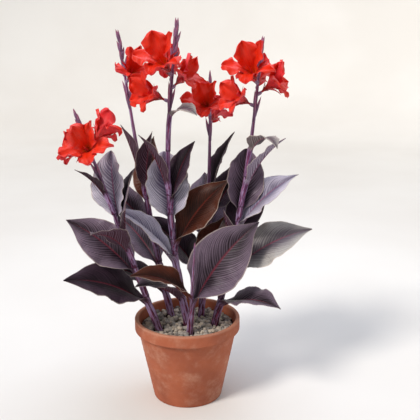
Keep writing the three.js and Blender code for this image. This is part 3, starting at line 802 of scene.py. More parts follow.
@dataclass(frozen=True, kw_only=True)
class PetalFinish(Finish):
    """Silky petal: a warm throat, a scarlet middle, coral margins and fine darker lines."""

    throat: Colour
    middle: Colour
    margin: Colour
    back: Colour
    line: Colour
    calyx: Colour = paint(92, 34, 40)
    line_count: float = 11.0
    line_amount: float = 0.34
    line_under: float = 0.4
    under_amount: float = 0.75
    cloud_scale: float = 22.0
    cloud_amount: float = 0.2
    throat_limits: Pair = (0.34, 0.02)
    margin_limits: Pair = (0.55, 1.0)
    margin_amount: float = 0.5
    margin_shares: Pair = (1.0, -0.1)
    end_limits: Pair = (0.7, 1.0)
    end_amount: float = 0.3
    fine_relief: float = 0.5
    relief: float = 0.45
    relief_depth: float = 0.5
    roughness: float = 0.38
    uneven: float = 0.18
    gloss: float = 0.35
    sheen: float = 0.08
    sheen_roughness: float = 0.35
    sheen_tint: Colour = paint(255, 150, 170)
    glow: float = 0.2
    glow_radius: Triple = (1.0, 0.22, 0.12)
    glow_depth: float = 0.004

    def build(self, effects: Effects) -> Material:
        """Material of the bloom.

        Args:
            effects: The shared shader groups.

        Returns:
            The material.
        """
        material, graph, shader = self.start()
        across, along, under, tint = graph.marks()
        streak, ridge = graph.place(
            effects.streaks, Line=graph.times(across, self.line_count), Run=along)
        broad, fine = graph.place(effects.mottle, Scale=self.cloud_scale)
        base = graph.blend(graph.ease(along, *self.throat_limits), self.middle, self.throat)
        reach = graph.math("ABSOLUTE", across)
        outer = graph.times(graph.ease(reach, *self.margin_limits), self.margin_amount,
                            graph.scaled(graph.ease(along, *self.end_limits), self.end_amount))
        outer = graph.times(broad, self.cloud_amount, outer)
        base = graph.blend(graph.scaled(outer, *self.margin_shares), base, self.margin)
        base = graph.blend(graph.scaled(streak, self.line_amount), base, self.line)
        back = graph.blend(graph.scaled(streak, self.line_under), self.back, self.middle)
        base = graph.blend(graph.scaled(under, self.under_amount), base, back)
        base = graph.blend(tint, base, graph.blend(streak, self.calyx, self.line))
        relief = graph.times(fine, self.fine_relief, ridge)
        self.finish(graph, shader, base, fine, relief)
        graph.feed(shader, {
            "Subsurface Weight": self.glow, "Subsurface Radius": self.glow_radius,
            "Subsurface Scale": self.glow_depth})
        return material


@dataclass(frozen=True, kw_only=True)
class StemFinish(Finish):
    """Stem, seed cases and buds: purple under a pale waxy bloom, buds redder to the point."""

    name: str = "purple stem"
    case: Colour = paint(96, 62, 66)
    bud: Colour = paint(92, 46, 82)
    bud_tip: Colour = paint(150, 52, 78)
    line_count: float = 4.0
    cloud_scale: float = 18.0
    tip_limits: Pair = (0.3, 0.95)
    bud_wax: float = 0.5
    case_tints: Pair = (0.2, 0.45)
    bud_tints: Pair = (0.6, 0.9)
    fine_relief: float = 0.6
    relief: float = 0.4
    relief_depth: float = 0.5
    roughness: float = 0.36
    uneven: float = 0.2
    sheen: float = 0.2
    sheen_tint: Colour = paint(214, 200, 230)

    def build(self, effects: Effects) -> Material:
        """Material of the stem.

        Args:
            effects: The shared shader groups.

        Returns:
            The material.
        """
        material, graph, shader = self.start()
        across, along, _, tint = graph.marks()
        stem, wax = graph.place(effects.stem_skin, Around=across, Along=along)
        _, fine = graph.place(effects.mottle, Scale=self.cloud_scale)
        streak, ridge = graph.place(
            effects.streaks, Line=graph.times(across, self.line_count), Run=along)
        bud = graph.blend(graph.ease(along, *self.tip_limits), self.bud, self.bud_tip)
        bud = graph.blend(graph.scaled(streak, self.bud_wax), bud, STEM_WAXY)
        case = graph.blend(fine, self.case, STEM_WAXY)
        base = graph.blend(graph.ease(tint, *self.case_tints), stem, case)
        base = graph.blend(graph.ease(tint, *self.bud_tints), base, bud)
        relief = graph.times(fine, self.fine_relief, ridge)
        self.finish(graph, shader, base, wax, relief)
        return material


@dataclass(frozen=True, kw_only=True)
class StoneFinish(Finish):
    """Gravel: stones from grey to beige, each with its own tone, specked and a little dusty."""

    name: str = "pale gravel"
    grey: Colour = paint(142, 138, 134)
    beige: Colour = paint(190, 176, 158)
    dark: Colour = paint(96, 90, 88)
    cloud_scale: float = 60.0
    beige_tints: Pair = (0.25, 0.9)
    dark_tints: Pair = (0.22, 0.05)
    speck_limits: Pair = (0.62, 0.9)
    speck_amount: float = 0.5
    dust_amount: float = 0.3
    relief: float = 0.5
    relief_depth: float = 0.8
    roughness: float = 0.7
    uneven: float = 0.2

    def build(self, effects: Effects) -> Material:
        """Material of the gravel.

        Args:
            effects: The shared shader groups.

        Returns:
            The material.
        """
        material, graph, shader = self.start()
        _, _, _, tint = graph.marks()
        broad, fine = graph.place(effects.mottle, Scale=self.cloud_scale)
        base = graph.blend(graph.ease(tint, *self.beige_tints), self.grey, self.beige)
        base = graph.blend(graph.ease(tint, *self.dark_tints), base, self.dark)
        speck = graph.scaled(graph.ease(fine, *self.speck_limits), self.speck_amount)
        base = graph.blend(speck, base, self.dark)
        dust = graph.scaled(broad, self.dust_amount)
        self.finish(graph, shader, graph.blend(dust, base, self.beige), fine, fine)
        return material


@dataclass(frozen=True, kw_only=True)
class ClayFinish(Finish):
    """Fired clay: warm orange brown with fine grain, pale lime bloom and darker damp patches.

    Its heights are in metres above the pot's foot.
    """

    name: str = "fired clay"
    clay: Colour = paint(178, 98, 66)
    damp: Colour = paint(136, 68, 46)
    lime: Colour = paint(214, 168, 142)
    cloud_scale: float = 9.0
    grain_scale: float = 70.0
    grain_shift: float = 3.0
    grain_amount: float = 0.22
    damp_amount: float = 0.55
    foot_heights: Pair = (0.1, 0.0)
    foot_amount: float = 0.6
    lime_scale: float = 13.0
    lime_limits: Pair = (0.46, 0.74)
    lime_amount: float = 0.42
    worn_heights: Pair = (0.276, 0.285)
    worn_amount: float = 0.35
    cloud_relief: float = 0.6
    relief: float = 0.5
    relief_depth: float = 0.6
    roughness: float = 0.78
    uneven: float = 0.15

    def build(self, effects: Effects) -> Material:
        """Material of the pot.

        Args:
            effects: The shared shader groups.

        Returns:
            The material.
        """
        material, graph, shader = self.start()
        broad, fine = graph.place(effects.mottle, Scale=self.cloud_scale)
        patches, grain = graph.place(
            effects.mottle, Scale=self.grain_scale, Shift=self.grain_shift)
        height = graph.height()
        base = graph.blend(graph.scaled(broad, self.damp_amount), self.clay, self.damp)
        foot = graph.times(graph.ease(height, *self.foot_heights), broad)
        base = graph.blend(graph.scaled(foot, self.foot_amount), base, self.damp)
        patch = graph.ease(
            graph.noise(graph.spot(), self.lime_scale, detail=6.0, rough=0.7), *self.lime_limits)
        base = graph.blend(graph.scaled(patch, self.lime_amount), base, self.lime)
        worn = graph.scaled(graph.ease(height, *self.worn_heights), self.worn_amount)
        base = graph.blend(worn, base, self.lime)
        base = graph.blend(graph.scaled(grain, self.grain_amount), base, self.damp)
        relief = graph.times(fine, self.cloud_relief, grain)
        self.finish(graph, shader, base, patches, relief)
        return material


@dataclass(frozen=True, kw_only=True)
class SoilFinish(Finish):
    """Potting soil: dark brown crumbs with a few paler fibres."""

    name: str = "potting soil"
    dark: Colour = paint(34, 24, 18)
    crumb: Colour = paint(78, 56, 40)
    crumb_scale: float = 90.0
    dark_amount: float = 0.5
    relief: float = 0.9
    relief_depth: float = 3.0
    roughness: float = 0.88
    uneven: float = 0.1

    def build(self, effects: Effects) -> Material:
        """Material of the soil.

        Args:
            effects: The shared shader groups.

        Returns:
            The material.
        """
        material, graph, shader = self.start()
        broad, fine = graph.place(effects.mottle, Scale=self.crumb_scale)
        base = graph.blend(fine, self.dark, self.crumb)
        darker = graph.scaled(broad, self.dark_amount)
        self.finish(graph, shader, graph.blend(darker, base, self.dark), fine, fine)
        return material


@dataclass(frozen=True, kw_only=True)
class FloorFinish(Finish):
    """Plain pale studio floor with a barely uneven tone."""

    name: str = "studio floor"
    pale: Colour = paint(226, 224, 220)
    paler: Colour = paint(232, 231, 228)
    cloud_scale: float = 0.7
    roughness: float = 0.9

    def build(self, effects: Effects) -> Material:
        """Material of the floor.

        Args:
            effects: The shared shader groups.

        Returns:
            The material.
        """
        material, graph, shader = self.start()
        broad, _ = graph.place(effects.mottle, Scale=self.cloud_scale)
        self.finish(graph, shader, graph.blend(broad, self.pale, self.paler), broad, broad)
        return material


@dataclass(frozen=True)
class Buds:
    """Flower buds at the top of a shoot: heights, length, tilt from the stem and first bearing."""

    count: int
    low: float
    high: float
    length: float
    tilt: float
    turn: float
    seed: int
    radius: float = 5.0
    tilt_draw: float = 6.0
    tilt_ends: Pair = (1.15, 0.65)
    length_ends: Pair = (1.0, 0.75)
    length_draw: Pair = (0.9, 1.1)


@dataclass(frozen=True)
class TwinBud:
    """Long bud that stands lower, between the blooms."""

    height: float
    bearing: float
    tilt: float
    length: float


@dataclass(frozen=True)
class Shoot:
    """Stem that leans and bows as it rises. Heights are measured up from the soil."""

    name: str
    base: Pair
    lean: Pair
    bow: Pair
    height: float
    butt: float
    tip: float
    buds: Buds | None = None
    twins: tuple[TwinBud, ...] = ()

    def point(self, height: Array | float) -> Array:
        """Point on the stem's middle line: base + lean x share + bow x sin(pi x share).

        Args:
            height: One height or several.

        Returns:
            A point for each.
        """
        height = np.asarray(height, float)
        share = height / self.height
        swing = np.sin(np.pi * share)
        return np.stack([
            self.base[0] + self.lean[0] * share + self.bow[0] * swing,
            self.base[1] + self.lean[1] * share + self.bow[1] * swing,
            SOIL_TOP + height,
        ], axis=-1)

    def axis(self, height: Array | float) -> Array:
        """Direction of the stem at a height."""
        height = np.asarray(height, float)
        return unit(self.point(height + 1.0) - self.point(height - 1.0))

    def radius(self, height: Array | float) -> Array:
        """Radius of the stem at a height, even from butt to tip."""
        share = np.clip(np.asarray(height, float) / self.height, 0.0, 1.0)
        return lerp(self.butt, self.tip, share)


SHOOTS = {shoot.name: shoot for shoot in (
    Shoot(
        "centre", base=(2, -8), lean=(-26, 10), bow=(-47, 0), height=1000, butt=12, tip=3.6,
        buds=Buds(10, low=876, high=985, length=58, tilt=14, turn=40, seed=3),
        twins=(TwinBud(728, 255, 14, 84), TwinBud(742, 330, 13, 74), TwinBud(756, 120, 14, 76))),
    Shoot(
        "left", base=(-92, -50), lean=(-232, -90), bow=(0, 0), height=735, butt=11, tip=3.4,
        buds=Buds(7, low=640, high=722, length=50, tilt=16, turn=10, seed=5),
        twins=(TwinBud(520, 300, 14, 76), TwinBud(538, 220, 13, 70))),
    Shoot(
        "right", base=(92, -6), lean=(148, 6), bow=(22, 0), height=945, butt=11.5, tip=3.4,
        buds=Buds(8, low=842, high=930, length=54, tilt=14, turn=70, seed=7),
        twins=(TwinBud(700, 262, 14, 80), TwinBud(716, 330, 13, 72), TwinBud(730, 110, 14, 74))),
    Shoot(
        "middle", base=(46, 70), lean=(32, 45), bow=(10, 8), height=835, butt=10.5, tip=3.2,
        buds=Buds(6, low=742, high=820, length=48, tilt=15, turn=120, seed=9),
        twins=(TwinBud(622, 290, 14, 74), TwinBud(640, 180, 13, 66))),
    Shoot(
        "back", base=(-58, 74), lean=(-165, 60), bow=(-12, 8), height=965, butt=11, tip=3.4,
        buds=Buds(9, low=838, high=950, length=54, tilt=16, turn=200, seed=13),
        twins=(TwinBud(728, 250, 14, 78), TwinBud(744, 20, 13, 72), TwinBud(760, 140, 14, 70))),
    Shoot(
        "front", base=(10, -80), lean=(18, -12), bow=(0, 0), height=300, butt=10, tip=2.2),
)}


@dataclass(frozen=True)
class Growth:
    """Leaf or bloom. Its name says which shoot carries it, and its node is the height there.

    Its bearing is the direction that it grows in or faces, 0 to the right and 90 to the back.
    """

    name: str
    node: float
    bearing: float

    @property
    def shoot(self) -> Shoot:
        """The shoot that carries it."""
        return SHOOTS[self.name.split("_")[1]]

    def skin(self, phase: float) -> Skin:
        """Closed surface, with its waves started at a phase."""
        raise NotImplementedError

    def build(self, phase: float, part: str, slot: str, material: Material) -> None:
        """Place it with its finish, under its own name and what its piece is called."""
        place_piece(f"{self.name}_{part}", self.skin(phase), material, self.name)


@dataclass(frozen=True)
class Place:
    """Where a blade starts, the direction it leans to, its side and the direction it leans from."""

    origin: Array
    out: Array
    side: Array
    up: Array


@dataclass(frozen=True)
class Outline:
    """Width of a blade along its length: stalk, root, how early and full it is, drawn tip."""

    stalk: float
    root: float
    early: float
    full: float
    drawn: float
    drawn_from: float = 0.7
    drawn_to: float = 0.97
    tip_share: float = 0.015

    def at(self, s: Array) -> Array:
        """Share of the full width: sin(pi x^early)^full, narrowed to the tip by what is drawn.

        Args:
            s: Shares along the blade.

        Returns:
            The share of the width at each.
        """
        free = np.maximum(0.0, (s - self.stalk) / (1.0 - self.stalk))
        swell = np.sin(np.pi * np.clip(free, 0.0, 1.0) ** self.early) ** self.full
        tip = 1.0 - self.drawn * smoothstep(free, self.drawn_from, self.drawn_to)
        return np.maximum(self.root * (1.0 - s) + self.tip_share, swell * tip)


LEAF_OUTLINE = Outline(stalk=0.05, root=0.09, early=0.78, full=0.85, drawn=0.35)
ROUND_LEAF = Outline(stalk=0.05, root=0.09, early=0.88, full=0.62, drawn=0.12)
BROAD_PETAL = Outline(stalk=0.0, root=0.075, early=1.7, full=0.62, drawn=0.0)
POINTED_PETAL = Outline(stalk=0.0, root=0.075, early=1.3, full=0.85, drawn=0.45)
NARROW_OUTLINE = Outline(stalk=0.0, root=0.6, early=0.8, full=0.9, drawn=0.5)


@dataclass(frozen=True)
class Ruffle:
    """Slow and quick wave along a margin, out of step on its two sides, the quick one weaker."""

    slow: float
    quick: float
    step: float
    weaker: float

    def at(self, along: Array, across: Array, starts: Array | Pair) -> Array:
        """Sum of both waves.

        Args:
            along: Shares along.
            across: Shares across.
            starts: Start of each wave.

        Returns:
            The sum at each point.
        """
        ahead = np.where(across < 0.0, self.step, 0.0)
        slow = wave(self.slow * along + starts[0] + ahead)
        return slow + self.weaker * wave(self.quick * along + starts[1] - ahead)


@dataclass(frozen=True)
class Blade:
    """Leaf or petal: a midrib that bends evenly, and two halves that rise from it and curl."""

    length: float
    width: float
    lean: Pair
    fold: float
    curl: Pair
    outline: Outline
    wave: float = 0.0
    waves: float = 1.0
    phase: float = 0.0
    roll: float = 0.0
    clasp_radius: float = 0.0
    out_of_step: float = 1.3
    roll_reached: float = 0.4
    root_fold_spare: float = 0.6
    flattest: float = 1e-6

    def half_width(self, s: Array) -> Array:
        """Half the width, which opens from the clasp round the stem.

        Args:
            s: Shares along the blade.

        Returns:
            Half the width at each, in millimetres.
        """
        free = 0.5 * self.width * self.outline.at(s)
        if self.clasp_radius == 0.0:
            return free
        clasped = self.clasp_radius * math.radians(CLASP_TURN)
        return lerp(clasped, free, smoothstep(s, 0.0, CLASP_END))

    def surface(self, place: Place, s: Array, t: Array) -> Array:
        """Middle surface of the blade.

        The midrib is an arc whose lean from the up direction goes evenly from the first lean to
        the last. Each half is an arc too: it rises from the rib at the fold angle and reaches
        the curl angle at the margin, and its margin waves up and down.

        Args:
            place: Where the blade starts and which way it goes.
            s: Shares along it, 0 at the root and 1 at the tip.
            t: Shares across it, -1 to 1.

        Returns:
            Points as rows along the blade.
        """
        first, last = np.radians(self.lean)
        bend = last - first
        lean = first + bend * s
        out = self.length * (np.cos(first) - np.cos(lean)) / bend
        rise_up = self.length * (np.sin(lean) - np.sin(first)) / bend
        centre = place.origin + out[:, None] * place.out + rise_up[:, None] * place.up
        along = place.out * np.sin(lean)[:, None] + place.up * np.cos(lean)[:, None]
        roll = math.radians(self.roll) * smoothstep(s, 0.0, self.roll_reached)
        side = turned(np.broadcast_to(place.side, along.shape), along, roll)
        face = np.cross(along, side)

        clasped = self.clasp_radius > 0.0
        open_share = smoothstep(s, 0.0, CLASP_END) if clasped else np.ones_like(s)
        swell = self.outline.at(s)
        half = self.half_width(s)[:, None]
        root_fold = 1.0 + self.root_fold_spare * (1.0 - s) ** 3
        fold = (math.radians(self.fold) * root_fold * open_share)[:, None]
        margin = np.where(t < 0.0, self.curl[0], self.curl[1])[None, :]
        start = CLASP_TURN if clasped else 0.0
        curl = np.radians(lerp(start, margin, open_share[:, None]))
        reach = np.abs(t)[None, :]
        spread = curl - fold
        spread = np.where(np.abs(spread) < self.flattest, self.flattest, spread)
        across = half * (np.sin(fold + spread * reach) - np.sin(fold)) / spread
        step = np.where(t < 0.0, self.out_of_step, 0.0)[None, :]
        turn = 2.0 * np.pi * self.waves * s[:, None] + step + self.phase
        ripple = self.wave * self.width * reach * reach * swell[:, None] * np.sin(turn)
        rise = half * (np.cos(fold) - np.cos(fold + spread * reach)) / spread + ripple
        sign = np.sign(t)[None, :]
        return (centre[:, None, :] + side[:, None, :] * (sign * across)[..., None]
                + face[:, None, :] * rise[..., None])


def crowded(columns: int, power: float) -> Array:
    """Shares from -1 to 1 that stand closer together near 0: sign(u) |u|^power."""
    even = np.linspace(-1.0, 1.0, columns)
    return np.sign(even) * np.abs(even) ** power


class LeafTone(Enum):
    """Colourings that the leaves of this plant show, each with its finish. The darker copy of plum
    is painted shade for leaves in shadow, the pale lavender one a painted reflection of sun and
    sky, and the red-brown one partly painted light shining through the leaf.
    """

    PLUM = LeafFinish(
        name="plum leaf", deep=paint(24, 11, 20), light=paint(134, 115, 134),
        rib=paint(108, 38, 54), under=paint(68, 36, 48), rim_amount=0.42, gloss=0.16, sheen=0.05)
    # Pale lavender colouring: a painted reflection of sun and sky on the leaf's wax
    SKY_SHEEN = LeafFinish(
        name="sky sheen leaf", deep=paint(88, 78, 106), light=paint(238, 232, 248),
        rib=paint(136, 66, 104), under=paint(112, 90, 112), rim_amount=0.6, gloss=0.25, sheen=0.25)
    # Red-brown colouring: partly a bronze leaf colour, partly painted light shining through the
    # leaf
    BACKLIT_BRONZE = LeafFinish(
        name="backlit bronze leaf", deep=paint(36, 14, 8), light=paint(98, 47, 27),
        rib=paint(108, 42, 32), under=paint(88, 40, 26), gloss=0.18, sheen=0.03)
    # Darker copy of the plum colouring: painted shade for leaves that stand in shadow
    SHADED_PLUM = LeafFinish(
        name="shaded plum leaf", deep=paint(20, 10, 16), light=paint(80, 60, 76),
        rib=paint(98, 34, 48), under=paint(54, 30, 38), rim_amount=0.36, gloss=0.14, sheen=0.04)
    MOSS = LeafFinish(
        name="moss leaf", deep=paint(84, 74, 84), light=paint(204, 200, 194),
        rib=paint(150, 78, 100), under=paint(116, 98, 100), rim_amount=0.65, gloss=0.25, sheen=0.2)


PLUM, SKY_SHEEN, BACKLIT_BRONZE, SHADED_PLUM, MOSS = LeafTone


@dataclass(frozen=True)
class Leaf(Growth):
    """Leaf with its root clasping the stem and a sheath down to the joint below.

    Lean is its lean from the shoot at root and tip, fold the angle of its halves at the midrib,
    curl that of each half at its margin, and roll its turn about the midrib. A shift moves its
    waves, where it would touch a neighbour without one. Starts and opens say where along or
    across the leaf an effect begins and is full.
    """

    length: float
    width: float
    lean: Pair
    fold: float
    curl: Pair
    roll: float
    tone: LeafTone
    shift: float = 0.0
    outline: Outline = LEAF_OUTLINE
    wave: float = 0.035
    waves: float = 2.0
    row_step: float = 2.7
    columns: int = 33
    pace: float = 1.15
    crowding: float = 1.25
    half_thick: float = 0.45
    rib_depth: float = 2.2
    rib_width: float = 2.9
    rib_narrowest: float = 0.4
    rib_starts: Pair = (0.3, 1.0)
    rib_fade: float = 0.85
    groove_depth: float = 0.9
    groove_width: float = 2.3
    relief_starts: Pair = (0.04, 0.22)
    pleat_spacing: float = 11.5
    pleat_depths: Pair = (0.496, 0.186)
    pleat_beat: float = 0.17
    pleat_starts: Pair = (0.05, 0.3)
    pleat_slant: float = 0.24
    pleat_sweep: float = 0.2
    pleat_uneven: float = 0.18
    uneven_beat: float = 0.29
    uneven_start: float = 0.01
    ruffle: float = 0.02
    ruffle_waves: Ruffle = Ruffle(4.3, 7.1, 0.35, 0.6)
    ruffle_starts: Pair = (0.31, 0.17)
    broad_swell: float = 0.014
    broad_turns: Pair = (1.2, 0.4)
    broad_start: float = 0.23
    sheath_rows: int = 12
    sheath_longest: float = 115.0
    sheath_clear: float = 22.0
    sheath_buried: float = 4.0
    sheath_spare: float = 1.1
    sheath_turn: float = 178.0
    turn_opens: Pair = (0.45, 1.0)
    lean_opens: Pair = (0.55, 1.0)

    def place(self) -> Place:
        """Place of the leaf's root on its shoot.

        Returns:
            The place.
        """
        axis = self.shoot.axis(self.node)
        out = tilted_from(axis, self.bearing, 90.0)
        origin = self.shoot.point(self.node) + out * (self.shoot.radius(self.node) + CLASP_SPARE)
        return Place(origin, out, np.cross(axis, out), axis)

    def sheath_length(self) -> float:
        """Length of the sheath: down to a little above the leaf below, or to the gravel.

        Returns:
            The length.
        """
        below = [leaf.node for leaf in LEAVES if leaf.shoot is self.shoot and leaf.node < self.node]
        if below:
            return min(self.sheath_longest, self.node - max(below) - self.sheath_clear)
        return min(self.sheath_longest, self.node + self.sheath_buried)

    def sheath(self, q: Array, t: Array) -> Array:
        """Middle surface of the sheath, a tube round the stem that opens into the leaf's root.

        Each row is part of a circle round the stem: it wraps almost all the way round low down
        and as far as the leaf's root at the top, where it also tilts as the leaf does.

        Args:
            q: Shares along the sheath, 0 at its foot and 1 at the leaf.
            t: Shares across, -1 to 1.

        Returns:
            Points as rows along the sheath.
        """
        shoot = self.shoot
        height = self.node - self.sheath_length() * (1.0 - q)
        axis = shoot.axis(height)
        out = square_to(axis, np.broadcast_to(self.place().out, axis.shape))
        side = np.cross(axis, out)
        spare = lerp(self.sheath_spare, CLASP_SPARE, q ** 2)
        radius = (shoot.radius(height) + spare)[:, None]
        turn = lerp(self.sheath_turn, CLASP_TURN, smoothstep(q, *self.turn_opens))
        lean = (math.radians(self.lean[0]) * smoothstep(q, *self.lean_opens))[:, None]
        inward = -out * np.cos(lean) + axis * np.sin(lean)
        origin = shoot.point(height) + out * radius
        angle = np.radians(turn)[:, None] * t[None, :]
        across = side[:, None, :] * (radius * np.sin(angle))[..., None]
        rise = inward[:, None, :] * (radius * (1.0 - np.cos(angle)))[..., None]
        return origin[:, None, :] + across + rise

    def veins(self, s: Array, reach: Array) -> Array:
        """Count of the veins passed on the way to a point.

        Each vein leaves the midrib at a slant and sweeps to the tip near the margin, so the count
        falls with a x + b x^3 of the reach x. A slow wave makes their spacing uneven.

        Args:
            s: Shares along.
            reach: Shares from the rib to the margin.

        Returns:
            The count at each point.
        """
        swept = self.pleat_slant * reach + self.pleat_sweep * reach ** 3
        count = (s - swept) * self.length / self.pleat_spacing
        start = self.uneven_start * self.bearing
        return count + self.pleat_uneven * wave(self.uneven_beat * count + start)

    def relief(self, s: Array, t: Array, half: Array, phase: float) -> Array:
        """Height of the leaf's own relief over its middle surface.

        A groove runs along the midrib, slanting pleats follow the veins, the margin ruffles and
        the whole blade swells and sinks a little.

        Args:
            s: Shares along.
            t: Shares across.
            half: Half width at each share along.
            phase: Start of the waves, which differs from leaf to leaf.

        Returns:
            Heights in millimetres, as rows along the leaf.
        """
        reach = np.abs(t)[None, :]
        from_rib = reach * half[:, None]
        s = s[:, None]
        free = smoothstep(s, *self.relief_starts)
        swell = self.outline.at(s)
        groove = -self.groove_depth * bell(from_rib, self.groove_width) * (1.0 - s)
        count = self.veins(s, reach)
        even, uneven = self.pleat_depths
        depth = even + uneven * wave(self.pleat_beat * count)
        pleat = depth * wave(count) * smoothstep(reach, *self.pleat_starts) * swell
        ruffle = self.ruffle_waves.at(s, t[None, :], np.array(self.ruffle_starts) * phase)
        ruffle = self.ruffle * self.width * reach ** 3 * ruffle * swell
        along, across = self.broad_turns
        broad = wave(along * s + across * t[None, :] + self.broad_start * phase)
        broad = self.broad_swell * self.width * broad
        return groove + free * (pleat + ruffle + broad * reach)

    def skin(self, phase: float) -> Skin:
        """Closed surface of the leaf and its sheath.

        The lower face is pushed out along the midrib into a round rib, which is tallest at the
        root and fades to the tip and down the sheath.

        Args:
            phase: Start of the waves.

        Returns:
            The closed surface.
        """
        blade = Blade(
            self.length, self.width, self.lean, self.fold, self.curl, self.outline,
            wave=self.wave, waves=self.waves, phase=phase, roll=self.roll,
            clasp_radius=float(self.shoot.radius(self.node)) + CLASP_SPARE)
        t = crowded(self.columns, self.crowding)
        q = np.linspace(0.0, 1.0, self.sheath_rows + 1)[:-1]
        s = np.linspace(0.0, 1.0, int(self.length / self.row_step) + 1) ** self.pace
        middle = np.concatenate([self.sheath(q, t), blade.surface(self.place(), s, t)])
        half = blade.half_width(s)
        relief = np.zeros(middle.shape[:2])
        relief[len(q):] = self.relief(s, t, half, phase)
        middle = middle + grid_normals(middle) * relief[..., None]
        normal = grid_normals(middle)
        all_half = np.concatenate([np.full(len(q), half[0]), half])
        fade = np.concatenate([smoothstep(q, *self.rib_starts), 1.0 - self.rib_fade * s])
        from_rib = np.abs(t)[None, :] * all_half[:, None]
        rib_width = self.rib_width * lerp(self.rib_narrowest, 1.0, fade)[:, None]
        rib = self.rib_depth * fade[:, None] * bell(from_rib, rib_width)
        top = middle + normal * self.half_thick
        under = middle - normal * (self.half_thick + rib)[..., None]
        along = np.concatenate([q - 1.0, s])
        return sheet_skin(top, under, t, along, self.veins(along[:, None], np.abs(t)[None, :]))


LEAVES = [
    Leaf("leaf_centre_folded", 235, 186, 290, 125, (26, 52), 50, (30, -40), 0, SKY_SHEEN),
    Leaf("leaf_centre_front", 100, 228, 218, 116, (34, 80), 28, (8, 8), -15, PLUM, 1),
    Leaf("leaf_centre_right", 290, 5, 280, 145, (30, 60), 24, (8, 8), 50, BACKLIT_BRONZE),
    Leaf("leaf_centre_cupped", 375, 95, 230, 172, (7, 20), 20, (45, 45), 0, SKY_SHEEN, 2,
         ROUND_LEAF),
    Leaf("leaf_centre_high", 500, 205, 190, 74, (14, 40), 35, (10, 10), 0, PLUM),
    Leaf("leaf_centre_bract", 722, -38, 118, 62, (38, 128), 20, (8, 8), 24, MOSS),
    Leaf("leaf_left_low", 110, 205, 300, 165, (26, 68), 20, (5, 5), -35, SHADED_PLUM),
    Leaf("leaf_left_wide", 215, 160, 290, 145, (20, 56), 22, (5, 5), -40, PLUM),
    Leaf("leaf_left_front", 300, 248, 210, 110, (24, 72), 28, (5, 5), 0, PLUM),
    Leaf("leaf_left_fan", 400, 48, 220, 165, (10, 26), 12, (25, 25), 0, SKY_SHEEN, 0.5,
         ROUND_LEAF),
    Leaf("leaf_left_small", 490, 215, 130, 56, (12, 44), 30, (10, 10), 0, SHADED_PLUM),
    Leaf("leaf_right_front", 80, 318, 250, 130, (46, 92), 26, (5, 5), 20, PLUM),
    Leaf("leaf_right_low", 190, 5, 320, 160, (30, 68), 22, (5, 5), 38, MOSS),
    Leaf("leaf_right_back", 300, 70, 290, 140, (20, 56), 25, (8, 8), 0, SHADED_PLUM),
    Leaf("leaf_right_cupped", 400, 100, 215, 144, (8, 22), 20, (35, 35), 0, PLUM, 1,
         ROUND_LEAF),
    Leaf("leaf_right_outer", 500, -20, 200, 90, (14, 46), 32, (8, 8), 0, SKY_SHEEN),
    Leaf("leaf_right_pale", 610, 300, 165, 90, (22, 130), 18, (5, 5), 0, MOSS),
    Leaf("leaf_middle_low", 90, 50, 280, 140, (40, 85), 28, (5, 5), 0, SHADED_PLUM),
    Leaf("leaf_middle_brown", 190, -62, 225, 118, (14, 42), 32, (10, 10), 0, BACKLIT_BRONZE),
    Leaf("leaf_middle_back", 260, 95, 320, 150, (25, 62), 25, (5, 5), 0, PLUM),
    Leaf("leaf_middle_tall", 430, 20, 240, 105, (8, 30), 30, (10, 10), 0, SHADED_PLUM),
    Leaf("leaf_back_under", 95, 205, 260, 140, (34, 72), 24, (5, 5), -30, SHADED_PLUM),
    Leaf("leaf_back_low", 180, 125, 320, 155, (34, 76), 25, (5, 5), 0, PLUM),
    Leaf("leaf_back_left", 310, 185, 290, 135, (20, 52), 26, (8, 8), -30, PLUM),
    Leaf("leaf_back_inner", 400, 60, 250, 120, (12, 38), 28, (10, 10), 0, BACKLIT_BRONZE),
    Leaf("leaf_back_tall", 520, 200, 170, 60, (5, 16), 37, (45, 45), 0, PLUM),
    Leaf("leaf_front_hero", 110, 12, 350, 190, (20, 50), 18, (5, 5), 62, PLUM),
    Leaf("leaf_front_low", 130, 205, 240, 115, (36, 90), 34, (10, 10), -20, BACKLIT_BRONZE),
    Leaf("leaf_middle_left", 140, 184, 309, 152, (28, 63), 24, (5, 5), -33, SHADED_PLUM, 5),
    Leaf("leaf_middle_right", 338, 6, 280, 135, (16, 50), 26, (8, 8), 32, SHADED_PLUM),
    Leaf("leaf_back_high", 460, 325, 205, 90, (10, 32), 30, (10, 10), 0, PLUM),
    Leaf("leaf_right_inner", 245, 213, 180, 83, (10, 29), 26, (8, 8), -5, PLUM),
    Leaf("leaf_right_wide", 350, -5, 268, 135, (17, 53), 24, (8, 8), 31, SKY_SHEEN),
    Leaf("leaf_left_inner", 350, 350, 235, 115, (14, 42), 26, (8, 8), 28, PLUM),
    Leaf("leaf_centre_upper", 439, 17, 213, 101, (10, 39), 28, (8, 8), 30, SHADED_PLUM),
]


class PetalTone(Enum):
    """Colourings of the blooms, each with its finish."""

    SCARLET = PetalFinish(
        name="scarlet bloom", throat=paint(238, 116, 30), middle=paint(230, 42, 2),
        margin=paint(230, 56, 42), back=paint(226, 62, 76), line=paint(184, 12, 2))
    CORAL = PetalFinish(
        name="coral bloom", throat=paint(240, 124, 40), middle=paint(232, 48, 10),
        margin=paint(234, 74, 70), back=paint(230, 80, 98), line=paint(190, 20, 10))


@dataclass(frozen=True)
class Petal:
    """One petal of a full bloom, by its turn about the bloom's axis from the upper side."""

    turn: float
    length: float
    width: float
    lean: Pair
    fold: float
    curl: Pair
    outline: Outline = NARROW_OUTLINE


